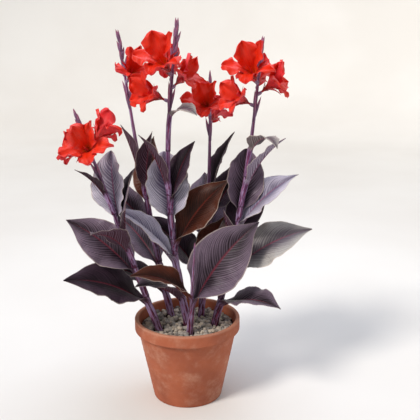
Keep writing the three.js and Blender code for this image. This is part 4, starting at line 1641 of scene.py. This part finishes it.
PETALS = [
    Petal(28, 94, 62, (2, 36), 8, (-10, 26), BROAD_PETAL),
    Petal(-42, 92, 54, (8, 50), 8, (24, -12), POINTED_PETAL),
    Petal(102, 88, 58, (18, 84), 5, (-18, 20), BROAD_PETAL),
    Petal(-114, 90, 52, (22, 96), 5, (18, -18), POINTED_PETAL),
    Petal(178, 72, 48, (14, 102), 8, (14, 14), BROAD_PETAL),
]

# Slim pointed petals behind the broad ones, and the small sepals under them
SLIM_PETALS = [
    Petal(66, 72, 17, (16, 48), 16, (24, 24)),
    Petal(-78, 68, 16, (22, 62), 16, (24, 24)),
    Petal(140, 62, 15, (26, 78), 16, (24, 24)),
]

SEPALS = [
    Petal(0, 26, 10, (26, 42), 20, (30, 30)),
    Petal(118, 24, 9, (30, 48), 20, (30, 30)),
    Petal(-122, 25, 10, (26, 44), 20, (30, 30)),
]

# Flat style and petal-like stamen in the middle of the bloom
MIDDLES = [
    Petal(150, 46, 7, (2, 12), 4, (6, 6)),
    Petal(20, 42, 12, (6, 34), 10, (40, -30)),
]


@dataclass(frozen=True)
class Bloom(Growth):
    """Bloom on a seed case, facing its bearing at a rise above the level.

    Its size is against a full bloom, its turn is that of its petals, and its shift moves its
    waves, where it would touch a neighbour without one. Starts say where along a petal an effect
    begins and is full.
    """

    rise: float
    size: float
    turn: float
    tone: PetalTone = PetalTone.SCARLET
    shift: float = 0.0
    tube_length: float = 20.0
    tube_radius: float = 6.0
    tube_flare: Triple = (0.5, 0.35, 0.45)
    tube_along: float = 0.3
    tube_tint: float = 0.6
    mouth_radii: Pair = (0.8, 0.4)
    mouth_shares: Pair = (0.98, 0.93)
    petal_sunk: float = 4.0
    petal_circle: float = 3.6
    wave: float = 0.09
    waves: float = 1.5
    petal_phase: float = 1.7
    rows: int = 28
    columns: int = 25
    tube_rows: int = 9
    tube_sides: int = 18
    half_thick: float = 0.4
    relief_starts: Pair = (0.1, 0.35)
    ruffle: float = 0.07
    ruffle_power: float = 2.5
    ruffle_waves: Ruffle = Ruffle(3.1, 5.3, 0.4, 0.5)
    end_ruffle: float = 0.05
    end_turns: float = 0.9
    end_starts: Pair = (0.45, 0.9)
    crease_depth: float = 0.45
    creases: float = 5.0
    groove_depth: float = 1.1
    groove_width: float = 0.14
    narrow_circle: float = 3.0
    narrow_rows: int = 13
    narrow_columns: int = 7
    narrow_wave: float = 0.06
    narrow_waves: float = 1.2
    slim_root: float = 9.0
    slim_tint: float = 0.3
    sepal_root: float = 4.0
    seed: int = 71

    def axis(self) -> Array:
        """Direction that the bloom faces."""
        return bearing_vector(self.bearing, self.rise)

    def foot(self, spare: float) -> Array:
        """Point where the bloom stands on its seed case, off by a spare."""
        reach = float(self.shoot.radius(self.node)) + OVARY_REACH + spare
        return self.shoot.point(self.node) + self.axis() * reach

    def place(self, turn: float, along: float, from_axis: float) -> Place:
        """Place of a petal's root.

        Args:
            turn: Turn about the axis from the upper side.
            along: Distance from the foot along the axis, on a full bloom.
            from_axis: Distance from the axis, on a full bloom.

        Returns:
            The place.
        """
        axis = self.axis()
        upper = square_to(axis, UP)
        out = turned(upper, axis, math.radians(turn + self.turn))
        origin = self.foot(GAP) + (axis * along + out * from_axis) * self.size
        return Place(origin, out, np.cross(axis, out), axis)

    def blade(self, petal: Petal, wave: float, waves: float, phase: float) -> Blade:
        """Blade of a petal at this bloom's size, with its waves.

        Args:
            petal: The petal.
            wave: Height of its waves, against its width.
            waves: Their number.
            phase: Their start.

        Returns:
            The blade.
        """
        return Blade(
            petal.length * self.size, petal.width * self.size, petal.lean, petal.fold, petal.curl,
            petal.outline, wave=wave, waves=waves, phase=phase)

    def sheet(self, middle: Array, s: Array, t: Array, tint: float) -> Skin:
        """Closed thin sheet on both sides of a middle surface."""
        thick = grid_normals(middle) * self.half_thick
        return sheet_skin(middle + thick, middle - thick, t, s, tint)

    def petal(self, petal: Petal, order: int, phase: float, draw: np.random.Generator) -> Skin:
        """Closed surface of one broad petal.

        Its margin and its end ruffle, fine creases run along it from the claw, and a shallow
        groove follows its middle.

        Args:
            petal: The petal.
            order: Its place among the petals, which sets its waves apart.
            phase: Start of the bloom's waves.
            draw: Draws of the bloom.

        Returns:
            The closed surface.
        """
        blade = self.blade(petal, self.wave, self.waves, self.petal_phase * order + phase)
        place = self.place(petal.turn, self.tube_length - self.petal_sunk, self.petal_circle)
        s = np.linspace(0.0, 1.0, self.rows + 1)
        t = np.linspace(-1.0, 1.0, self.columns)
        middle = blade.surface(place, s, t)
        start = draw.random(4)
        along, across = s[:, None], t[None, :]
        swell = petal.outline.at(along)
        ruffle = self.ruffle_waves.at(along, across, start[:2])
        ruffle = self.ruffle * blade.width * np.abs(across) ** self.ruffle_power * ruffle * swell
        end = self.end_ruffle * blade.length * wave(self.end_turns * across + start[2])
        end = end * smoothstep(along, *self.end_starts)
        crease = self.crease_depth * wave(self.creases * across + start[3]) * swell
        groove = -self.groove_depth * bell(across, self.groove_width) * (1.0 - along)
        relief = smoothstep(along, *self.relief_starts) * (ruffle + end + crease + groove)
        return self.sheet(middle + grid_normals(middle) * relief[..., None], s, t, 0.0)

    def narrow(self, petal: Petal, along: float, tint: float) -> Skin:
        """Closed surface of a narrow blade: a slim petal, a sepal, the style or the stamen.

        Args:
            petal: Its sizes.
            along: Distance of its root from the bloom's foot.
            tint: Tint, from 0 as the petals are to 1 as the calyx is.

        Returns:
            The closed surface.
        """
        blade = self.blade(petal, self.narrow_wave, self.narrow_waves, petal.turn)
        s = np.linspace(0.0, 1.0, self.narrow_rows)
        t = np.linspace(-1.0, 1.0, self.narrow_columns)
        place = self.place(petal.turn, along, self.narrow_circle)
        return self.sheet(blade.surface(place, s, t), s, t, tint)

    def tube(self) -> Skin:
        """Closed surface of the tube that the petals stand on.

        Its radius grows with a + b x + c x^3 of the share x along it, and two smaller rings at
        the mouth turn its wall inwards.

        Returns:
            The closed surface.
        """
        axis = self.axis()
        share = np.linspace(0.0, 1.0, self.tube_rows)
        least, even, late = self.tube_flare
        radius = self.tube_radius * self.size * (least + even * share + late * share ** 3)
        radius = np.concatenate([radius, radius[-1] * np.array(self.mouth_radii)])
        reach = np.concatenate([share, self.mouth_shares]) * self.tube_length * self.size
        centre = self.foot(GAP) + reach[:, None] * axis
        ring = ring_round(axis, UP, self.tube_sides)
        rings = centre[:, None, :] + radius[:, None, None] * ring[None]
        return ringed_skin(rings, np.full((len(reach), 1), self.tube_along), self.tube_tint)

    def skin(self, phase: float) -> Skin:
        """Closed surfaces of the whole bloom.

        Args:
            phase: Start of its waves and of its draws.

        Returns:
            The closed surfaces, as one.
        """
        draw = np.random.default_rng(int(phase) + self.seed)
        skins = [self.tube()]
        for order, petal in enumerate(PETALS):
            skins.append(self.petal(petal, order, phase, draw))
        skins += [self.narrow(slim, self.slim_root, self.slim_tint) for slim in SLIM_PETALS]
        skins += [self.narrow(sepal, self.sepal_root, 1.0) for sepal in SEPALS]
        skins += [self.narrow(part, self.tube_length - self.petal_sunk, 0.0) for part in MIDDLES]
        return joined(skins)


BLOOMS = [
    Bloom("bloom_centre_main", 845, 240, 46, 1.3, 0),
    Bloom("bloom_centre_low", 765, 205, 24, 1.15, 20),
    Bloom("bloom_centre_right", 805, -30, 42, 1.05, -15, PetalTone.CORAL),
    Bloom("bloom_centre_back", 825, 100, 46, 1.1, 10),
    Bloom("bloom_left_main", 605, 262, 38, 1.2, 20, PetalTone.CORAL),
    Bloom("bloom_left_side", 590, 165, 34, 1.05, 0),
    Bloom("bloom_left_high", 635, 40, 48, 1.05, 0),
    Bloom("bloom_right_main", 820, 245, 46, 1.28, 5),
    Bloom("bloom_right_low", 750, 200, 28, 1.05, 30, PetalTone.CORAL, 38),
    Bloom("bloom_right_side", 785, -20, 38, 1.1, 10),
    Bloom("bloom_right_back", 800, 85, 46, 1.05, 0),
    Bloom("bloom_middle_main", 710, 255, 44, 1.15, 0, PetalTone.SCARLET, 30),
    Bloom("bloom_middle_back", 675, 75, 38, 1, 20, PetalTone.CORAL),
    Bloom("bloom_back_main", 815, 300, 44, 1.15, 10),
]


@dataclass(frozen=True)
class Stem:
    """Fine surface of a shoot: its stem, seed cases, buds and pointed tip.

    The swells of the stem give the depth, the length and the start of each one.
    """

    shoot: Shoot
    sides: int = 24
    row_step: float = 6.5
    joint_swell: float = 0.3
    joint_width: float = 5.0
    swells: tuple[Triple, ...] = ((0.12, 37.0, 0.0), (0.1, 61.0, 0.3))
    bud_rows: int = 20
    bud_sides: int = 12
    bud_cut: float = 0.16
    bud_early: float = 0.92
    bud_full: float = 0.85
    bud_point: float = 0.05
    bud_case: Triple = (0.3, 0.08, 0.09)
    bud_ridges: Triple = (0.07, 3.0, 5.0)
    bud_tint: float = 1.0
    case_rows: int = 18
    case_sides: int = 18
    case_radius: float = 4.4
    case_form: Triple = (0.62, 0.55, 0.22)
    case_early: float = 1.3
    case_tint: float = 0.5
    warts: Triple = (0.09, 7.0, 26.0)
    tip_length: float = 34.0
    tip_overlap: float = 8.0
    tip_spare: float = 0.8

    def round_piece(
        self, root: Array, axis: Array, length: float, radius: Array, tint: float,
    ) -> Skin:
        """Closed round piece along an axis, with its rings evenly spaced.

        Args:
            root: Its foot.
            axis: Its direction.
            length: Its length.
            radius: Radius of each point, as rings of sides.
            tint: Tint.

        Returns:
            The closed surface.
        """
        rows, sides = radius.shape
        share = np.linspace(0.0, 1.0, rows)
        centre = root + (length * share)[:, None] * axis
        rings = centre[:, None, :] + radius[..., None] * ring_round(axis, ROUND_START, sides)[None]
        return ringed_skin(rings, share[:, None], tint)

    def stem(self) -> Skin:
        """Stem tube: rings along the middle line, swollen at each joint and a hair uneven.

        Returns:
            The closed surface.
        """
        shoot = self.shoot
        rows = int((shoot.height + STEM_DEPTH) / self.row_step)
        height = np.linspace(-STEM_DEPTH, shoot.height, rows)
        joints = np.array([entry.node for entry in (*LEAVES, *BLOOMS) if entry.shoot is shoot])
        swell = bell(height[:, None] - joints[None, :], self.joint_width).sum(axis=1)
        uneven = sum(depth * wave(height / length + start) for depth, length, start in self.swells)
        radius = (shoot.radius(height) + self.joint_swell * swell + uneven)[:, None, None]
        ring = ring_round(shoot.axis(height), np.array([1.0, 0.0, 0.0]), self.sides)
        rings = shoot.point(height)[:, None, :] + radius * ring
        return ringed_skin(rings, (height / shoot.height)[:, None], 0.0)

    def bud(self, root: Array, axis: Array, length: float, radius: float) -> Skin:
        """Closed bud: a small seed case, a waist, a full middle and a fine point.

        The radius follows sin(pi y)^full, where y goes from the cut to 1 as the share x^early,
        with a bump of a height, place and width for the case. The petals are rolled, so low
        ridges, by their depth, count and winding, turn round it on the way up.

        Args:
            root: Its foot.
            axis: Its direction.
            length: Its length.
            radius: Its radius where it is full.

        Returns:
            The closed surface.
        """
        share = np.linspace(0.0, 1.0, self.bud_rows)[:, None]
        body = np.sin(np.pi * lerp(self.bud_cut, 1.0, share) ** self.bud_early) ** self.bud_full
        height, place, width = self.bud_case
        body = np.maximum(self.bud_point, body + height * bell(share - place, width))
        depth, count, wound = self.bud_ridges
        ridges = 1.0 + depth * np.sin(count * circle(self.bud_sides) + wound * share)
        return self.round_piece(root, axis, length, radius * body * ridges, self.bud_tint)

    def buds(self) -> list[Skin]:
        """Buds round the top, at the golden angle and shorter upwards, and the twin buds.

        Returns:
            The closed surface of each.
        """
        plan = self.shoot.buds
        if plan is None:
            return []
        draws = Draws(plan.seed)
        skins = []
        for twin in self.shoot.twins:
            axis = tilted_from(self.shoot.axis(twin.height), twin.bearing, twin.tilt)
            skins.append(self.bud(self.shoot.point(twin.height), axis, twin.length, plan.radius))
        for order in range(plan.count):
            share = order / (plan.count - 1)
            height = plan.low + (plan.high - plan.low) * share
            tilt = plan.tilt * float(lerp(*plan.tilt_ends, share))
            tilt += plan.tilt_draw * (draws.next() - 0.5)
            axis = tilted_from(self.shoot.axis(height), plan.turn + GOLDEN_ANGLE * order, tilt)
            length = plan.length * float(lerp(*plan.length_ends, share))
            length *= float(lerp(*plan.length_draw, draws.next()))
            skins.append(self.bud(self.shoot.point(height), axis, length, plan.radius))
        return skins

    def seed_case(self, entry: Bloom) -> Skin:
        """Warty seed case between the stem and a bloom.

        Its radius is a + b sin(pi x^early) + c x of the share x, under rows of warts that follow
        the product of one sine round it and one along it.

        Args:
            entry: The bloom that it carries.

        Returns:
            The closed surface.
        """
        root = self.shoot.point(entry.node)
        length = float(np.linalg.norm(entry.foot(0.0) - root))
        share = np.linspace(0.0, 1.0, self.case_rows)[:, None]
        least, full, late = self.case_form
        body = least + full * np.sin(np.pi * share ** self.case_early) + late * share
        depth, around, along = self.warts
        warts = 1.0 + depth * np.sin(around * circle(self.case_sides)) * np.sin(along * share)
        radius = self.case_radius * body * warts
        return self.round_piece(root, entry.axis(), length, radius, self.case_tint)

    def skin(self) -> Skin:
        """Closed surfaces of the whole shoot.

        Returns:
            The closed surfaces, as one.
        """
        shoot = self.shoot
        tip = self.bud(
            shoot.point(shoot.height - self.tip_overlap), shoot.axis(shoot.height),
            self.tip_length, shoot.tip + self.tip_spare)
        cases = [self.seed_case(entry) for entry in BLOOMS if entry.shoot is shoot]
        return joined([self.stem(), tip, *self.buds(), *cases])

    def build(self, material: Material) -> None:
        """Place the shoot with its finish."""
        name = self.shoot.name
        place_piece(f"stem_{name}", self.skin(), material, f"shoot_{name}")


@dataclass(frozen=True)
class Pot:
    """Plain round clay pot with a straight rim band, turned from one profile."""

    sides: int = 120
    row_step: float = 6.0
    crease: float = 40.0
    rim_slope: float = 2.0
    foot_edge: float = 4.0
    shoulder_edge: float = 2.0
    rim_edges: Triple = (3.0, 4.0, 3.0)
    floor_edge: float = 6.0
    edge_steps: int = 7
    middle_radius: float = 2.0
    turning_depth: float = 0.3
    turning_spacing: float = 21.0
    turning_drift: float = 0.05
    turning_starts: Pair = (6.0, 14.0)
    turning_ends: Pair = (240.0, 232.0)
    outer_shares: Pair = (0.3, 0.7)
    drain_count: int = 4
    drain_radius: float = 8.0
    drain_circle: float = 62.0
    drain_sides: int = 24

    def inner_radius(self, z: Array | float) -> Array | float:
        """Radius of the inner wall at a height."""
        share = z / (POT_HEIGHT - POT_RIM_HEIGHT)
        return POT_FOOT_RADIUS + (POT_SHOULDER_RADIUS - POT_FOOT_RADIUS) * share - POT_WALL

    def profile(self) -> Array:
        """Profile from the middle of the foot, out, up, over the rim and down inside.

        Each corner is rounded by a curve between two points near it: (1-u)^2 a + 2u(1-u) corner
        + u^2 b. The outer wall is then divided evenly, so that it can carry turning marks.

        Returns:
            Radius and height of each point.
        """
        rim_foot = POT_HEIGHT - POT_RIM_HEIGHT
        top = self.inner_radius(POT_HEIGHT)
        corners = np.array([
            [self.middle_radius, 0.0],
            [POT_FOOT_RADIUS, 0.0],
            [POT_SHOULDER_RADIUS, rim_foot],
            [POT_RIM_RADIUS, rim_foot + self.rim_slope],
            [POT_RIM_RADIUS, POT_HEIGHT],
            [top, POT_HEIGHT],
            [self.inner_radius(POT_FLOOR), POT_FLOOR],
            [self.middle_radius, POT_FLOOR],
        ])
        edges = [0.0, self.foot_edge, self.shoulder_edge, *self.rim_edges, self.floor_edge, 0.0]
        u = np.linspace(0.0, 1.0, self.edge_steps)[:, None]
        line = [corners[:1]]
        for order in range(1, len(corners) - 1):
            corner = corners[order]
            before = corner + unit(corners[order - 1] - corner) * edges[order]
            after = corner + unit(corners[order + 1] - corner) * edges[order]
            line.append((1 - u) ** 2 * before + 2 * u * (1 - u) * corner + u ** 2 * after)
        line.append(corners[-1:])
        path = np.concatenate(line)
        run = np.concatenate([[0.0], np.cumsum(np.linalg.norm(np.diff(path, axis=0), axis=1))])
        wall = np.arange(POT_FOOT_RADIUS, POT_FOOT_RADIUS + POT_HEIGHT, self.row_step)
        stops = np.unique(np.concatenate([run, wall]))
        radius = np.interp(stops, run, path[:, 0])
        return np.stack([radius, np.interp(stops, run, path[:, 1])], axis=-1)

    def skin(self) -> Skin:
        """Closed surface of the pot: the profile turned about the upright axis.

        Low turning marks ring the outer wall, and the wall is a hair out of round.

        Returns:
            The closed surface.
        """
        radius, z = np.split(self.profile(), 2, axis=1)
        turn = circle(self.sides)[None, :]
        low, high = self.outer_shares
        on_wall = smoothstep(radius - self.inner_radius(z), low * POT_WALL, high * POT_WALL)
        on_wall *= smoothstep(z, *self.turning_starts) * smoothstep(z, *self.turning_ends)
        marks = wave(z / self.turning_spacing + self.turning_drift * np.sin(turn))
        wide = radius + self.turning_depth * marks * on_wall
        rings = np.stack(
            np.broadcast_arrays(wide * np.cos(turn), wide * np.sin(turn), z), axis=-1)
        return ringed_skin(rings, np.linspace(0.0, 1.0, len(z))[:, None], 0.0)

    def build(self, material: Material) -> None:
        """Place the pot, with its drain holes cut through the floor.

        Args:
            material: Its finish.
        """
        piece = place_piece("pot_turned", self.skin(), material, "pot", self.crease)
        drills = [self.drill(order) for order in range(self.drain_count)]
        for drill in drills:
            cut = piece.modifiers.new(drill.name, "BOOLEAN")
            cut.operation = "DIFFERENCE"
            cut.solver = "EXACT"
            cut.object = drill
        graph = bpy.context.evaluated_depsgraph_get()
        cut_mesh = bpy.data.meshes.new_from_object(piece.evaluated_get(graph))
        piece.modifiers.clear()
        piece.data = cut_mesh
        for drill in drills:
            bpy.data.objects.remove(drill)

    def drill(self, order: int) -> Object:
        """Round solid that cuts one drain hole.

        Args:
            order: Its order round the pot.

        Returns:
            The solid, as an object.
        """
        bearing = 360.0 * (order + 0.5) / self.drain_count
        centre = self.drain_circle * bearing_vector(bearing, 0.0)
        ring = centre + self.drain_radius * ring_round(UP, ROUND_START, self.drain_sides)
        rings = np.stack([ring - UP * POT_FLOOR, ring + UP * 2.0 * POT_FLOOR])
        return new_object("drain drill", ringed_skin(rings, np.zeros((2, 1)), 0.0), self.crease)


@dataclass(frozen=True)
class Gravel:
    """Layer of rounded stones on the soil, set out on a spiral with seeded draws."""

    count: int = 820
    seed: int = 19
    rows: int = 5
    columns: int = 9
    smallest: float = 5.2
    largest: float = 10.5
    size_power: float = 1.4
    widths: Pair = (0.7, 1.0)
    heights: Pair = (0.5, 0.8)
    lumps: Triple = (0.14, 0.09, 0.08)
    end_share: float = 0.3
    spiral_spare: float = 4.0
    turn_spread: float = 0.03
    place_spread: float = 1.6
    roll_spread: float = 0.35
    edge_spare: float = 1.0
    stem_height: float = 8.0
    stem_clear: float = 0.8
    sunk_share: float = 0.55
    layer_share: float = 0.3
    layer_rise: float = 5.0

    def stones(self) -> tuple[Array, Array, np.random.Generator]:
        """Middle and size of each stone that fits between the pot's wall and the stems.

        The stones stand on a sunflower spiral: the distance from the middle grows with the
        square root of the count, and the bearing by the golden angle.

        Returns:
            Places in the plane, sizes, and the draws for what follows.
        """
        draw = np.random.default_rng(self.seed)
        order = np.arange(self.count)
        wall = Pot().inner_radius(SOIL_TOP)
        size = lerp(self.smallest, self.largest, draw.random(self.count) ** self.size_power)
        distance = (wall - self.spiral_spare) * np.sqrt((order + 0.5) / self.count)
        turn = np.radians(GOLDEN_ANGLE) * order + draw.normal(0.0, self.turn_spread, self.count)
        place = np.stack([distance * np.cos(turn), distance * np.sin(turn)], axis=-1)
        place = place + draw.normal(0.0, self.place_spread, place.shape)
        fits = np.linalg.norm(place, axis=1) + size < wall - self.edge_spare
        for shoot in SHOOTS.values():
            stem = shoot.point(self.stem_height)[:2]
            clear = float(shoot.radius(0.0)) + CLASP_SPARE + self.stem_clear * size
            fits &= np.linalg.norm(place - stem, axis=1) > clear
        return place[fits], size[fits], draw

    def skin(self) -> Skin:
        """Closed surfaces of all the stones.

        Each stone is a ball whose radius rises and falls with two waves and with three round it
        and with two up it, flattened, turned at random and set down with its foot in the layer.

        Returns:
            The closed surfaces, as one.
        """
        place, size, draw = self.stones()
        total = len(size)
        lift = np.linspace(0.0, np.pi, self.rows + 2)[1:-1][None, :, None]
        turn = circle(self.columns)[None, None, :]
        start = 2.0 * np.pi * draw.random((total, 4))[:, :, None, None]
        oval, corners, waist = self.lumps
        lumps = (1.0 + oval * np.cos(2.0 * turn + start[:, 0]) * np.sin(lift)
                 + corners * np.cos(3.0 * turn + start[:, 1]) * np.sin(lift)
                 + waist * np.cos(2.0 * lift + start[:, 2]))
        ball = np.stack(np.broadcast_arrays(
            np.sin(lift) * np.cos(turn), np.sin(lift) * np.sin(turn), -np.cos(lift)), axis=-1)
        wide = size * lerp(*self.widths, draw.random(total))
        flat = size * lerp(*self.heights, draw.random(total))
        scale = np.stack([size, wide, flat], axis=-1)
        body = ball * lumps[..., None] * scale[:, None, None, :]
        roll = draw.normal(0.0, self.roll_spread, total)
        spin = 2.0 * np.pi * draw.random(total)
        body = self.rotated(body, roll, spin)
        upper = draw.random(total) < self.layer_share
        height = SOIL_TOP + GAP + self.sunk_share * flat + upper * self.layer_rise
        centre = np.concatenate([place, height[:, None]], axis=1)
        rings = body + centre[:, None, None, :]
        return self.closed(rings, centre, draw.random(total))

    @staticmethod
    def rotated(body: Array, roll: Array, spin: Array) -> Array:
        """Stones tipped about the level axis, then spun about the upright one.

        Args:
            body: Points of every stone round its own middle.
            roll: Tip of each stone, in radians.
            spin: Spin of each stone, in radians.

        Returns:
            The turned points.
        """
        x, y, z = body[..., 0], body[..., 1], body[..., 2]
        c, s = np.cos(roll)[:, None, None], np.sin(roll)[:, None, None]
        y, z = c * y - s * z, s * y + c * z
        c, s = np.cos(spin)[:, None, None], np.sin(spin)[:, None, None]
        x, y = c * x - s * y, s * x + c * y
        return np.stack([x, y, z], axis=-1)

    def closed(self, rings: Array, centre: Array, tone: Array) -> Skin:
        """Stones from their rings, each closed by a point at its foot and its head.

        Each end lies past its ring's middle, by a share of the step from the ring before it.

        Args:
            rings: Points as stone, ring and side.
            centre: Middle of each stone.
            tone: Tone of each stone, 0 to 1.

        Returns:
            The closed surfaces, as one.
        """
        total, rows, columns = rings.shape[:3]
        template = tube_skin(rings[0], np.zeros((rows, columns, 4)))
        each = len(template.points)
        middles = rings.mean(axis=2)
        outer = middles[:, [0, -1]]
        ends = outer + self.end_share * (outer - middles[:, [1, -2]])
        points = np.concatenate([rings.reshape(total, -1, 3), ends], axis=1).reshape(-1, 3)
        start = (np.arange(total) * each)[:, None, None]
        marks = np.zeros((total, each, 4))
        marks[..., 3] = tone[:, None]
        return Skin(
            points,
            (template.quads[None] + start).reshape(-1, 4),
            (template.tris[None] + start).reshape(-1, 3),
            marks.reshape(-1, 4),
        )

    def build(self, material: Material) -> None:
        """Place the stones with their finish."""
        place_piece("gravel_stones", self.skin(), material, "gravel")


@dataclass(frozen=True)
class Studio:
    """Pale floor that curves up far from the plant, soft lights, and the camera, in metres."""

    flat_radii: Triple = (0.05, 1.0, 3.0)
    flat_radius: float = 6.0
    curve_radius: float = 3.0
    curve_steps: int = 24
    wall_top: float = 4.8
    floor_sides: int = 96
    floor_crease: float = 60.0
    camera_place: Triple = (0.078, -2.251, 1.221)
    camera_target: Triple = (0.078, 0.0, 0.66)
    lens: float = 60.0
    sensor: float = 36.0
    sky: Colour = paint(228, 231, 238)
    sky_strength: float = 0.54
    key_place: Triple = (-1.9, -1.9, 2.6)
    key_colour: Colour = paint(255, 249, 242)
    key_strength: float = 2.45
    key_spread: float = 16.0
    top_place: Triple = (0.3, 0.9, 3.2)
    top_target: Triple = (0.0, 0.0, 0.7)
    top_colour: Colour = paint(232, 238, 255)
    top_power: float = 45.0
    top_size: float = 1.8

    def floor(self, material: Material) -> None:
        """Floor as a wide dish: flat in the middle, then a quarter circle up to a low wall.

        Args:
            material: Its finish.
        """
        turn = np.linspace(0.0, 0.5 * np.pi, self.curve_steps)
        radius = np.concatenate([
            self.flat_radii,
            self.flat_radius + self.curve_radius * np.sin(turn),
            [self.flat_radius + self.curve_radius],
        ])
        height = np.concatenate([
            np.zeros(len(self.flat_radii)),
            self.curve_radius * (1.0 - np.cos(turn)),
            [self.wall_top],
        ])
        ring = ring_round(UP, ROUND_START, self.floor_sides)
        rings = (radius[:, None, None] * ring + height[:, None, None] * UP) / MM
        points = np.concatenate([rings.reshape(-1, 3), np.zeros((1, 3))])
        faces = grid_quads(len(radius), self.floor_sides, True)[:, ::-1]
        side = np.arange(self.floor_sides)
        hub = np.full(self.floor_sides, len(points) - 1)
        middle = np.stack([side, (side + 1) % self.floor_sides, hub], axis=-1)
        skin = Skin(points, faces, middle, np.zeros((len(points), 4)))
        floor = new_object("floor", skin, self.floor_crease)
        floor.data.materials.append(material)

    def hang(
        self, name: str, data: ID, place: Triple, target: Triple = (0.0, 0.0, 0.0),
    ) -> Object:
        """Put a light or the camera at a place, so that it looks at a target.

        Args:
            name: Name of the new object.
            data: The light or the camera.
            place: Where it hangs.
            target: The point that it looks at.

        Returns:
            The new object.
        """
        holder = bpy.data.objects.new(name, data)
        holder.location = place
        towards = Vector(target) - Vector(place)
        holder.rotation_euler = towards.to_track_quat("-Z", "Y").to_euler()
        bpy.context.scene.collection.objects.link(holder)
        return holder

    def light(self) -> None:
        """Even sky, a square light above and behind, and a wide soft one from the front left."""
        bpy.context.scene.view_settings.view_transform = "Standard"
        world = bpy.data.worlds.new("studio sky")
        world.use_nodes = True
        sky = world.node_tree.nodes["Background"]
        sky.inputs["Color"].default_value = self.sky
        sky.inputs["Strength"].default_value = self.sky_strength
        bpy.context.scene.world = world
        top = bpy.data.lights.new("top light", "AREA")
        top.shape = "SQUARE"
        top.size = self.top_size
        top.energy = self.top_power
        top.color = self.top_colour[:3]
        self.hang("top light", top, self.top_place, self.top_target)
        key = bpy.data.lights.new("key light", "SUN")
        key.energy = self.key_strength
        key.angle = math.radians(self.key_spread)
        key.color = self.key_colour[:3]
        self.hang("key light", key, self.key_place)

    def camera(self) -> None:
        """Camera at the photograph's angle, a little above the plant's middle."""
        lens = bpy.data.cameras.new("camera")
        lens.lens = self.lens
        lens.sensor_width = self.sensor
        bpy.context.scene.camera = self.hang(
            "camera", lens, self.camera_place, self.camera_target)


def main() -> None:
    """Build every piece of the plant and its studio, in order."""
    logging.basicConfig(level=logging.INFO, format="%(message)s")
    effects = Effects()
    studio = Studio()
    studio.camera()
    studio.light()
    studio.floor(FloorFinish().build(effects))
    Pot().build(ClayFinish().build(effects))
    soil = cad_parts["soil"]
    soil.data.materials.clear()
    soil.data.materials.append(SoilFinish().build(effects))
    log.info("soil: finish only")
    Gravel().build(StoneFinish().build(effects))
    stem_finish = StemFinish().build(effects)
    for shoot in SHOOTS.values():
        Stem(shoot).build(stem_finish)
    leaf_finishes = {tone: tone.value.build(effects) for tone in LeafTone}
    for order, entry in enumerate(LEAVES):
        entry.build(order + entry.shift, "blade", "leaf", leaf_finishes[entry.tone])
    petal_finishes = {tone: tone.value.build(effects) for tone in PetalTone}
    for order, entry in enumerate(BLOOMS):
        entry.build(order + entry.shift, "petals", "petal", petal_finishes[entry.tone])


if __name__ == "__main__":
    main()
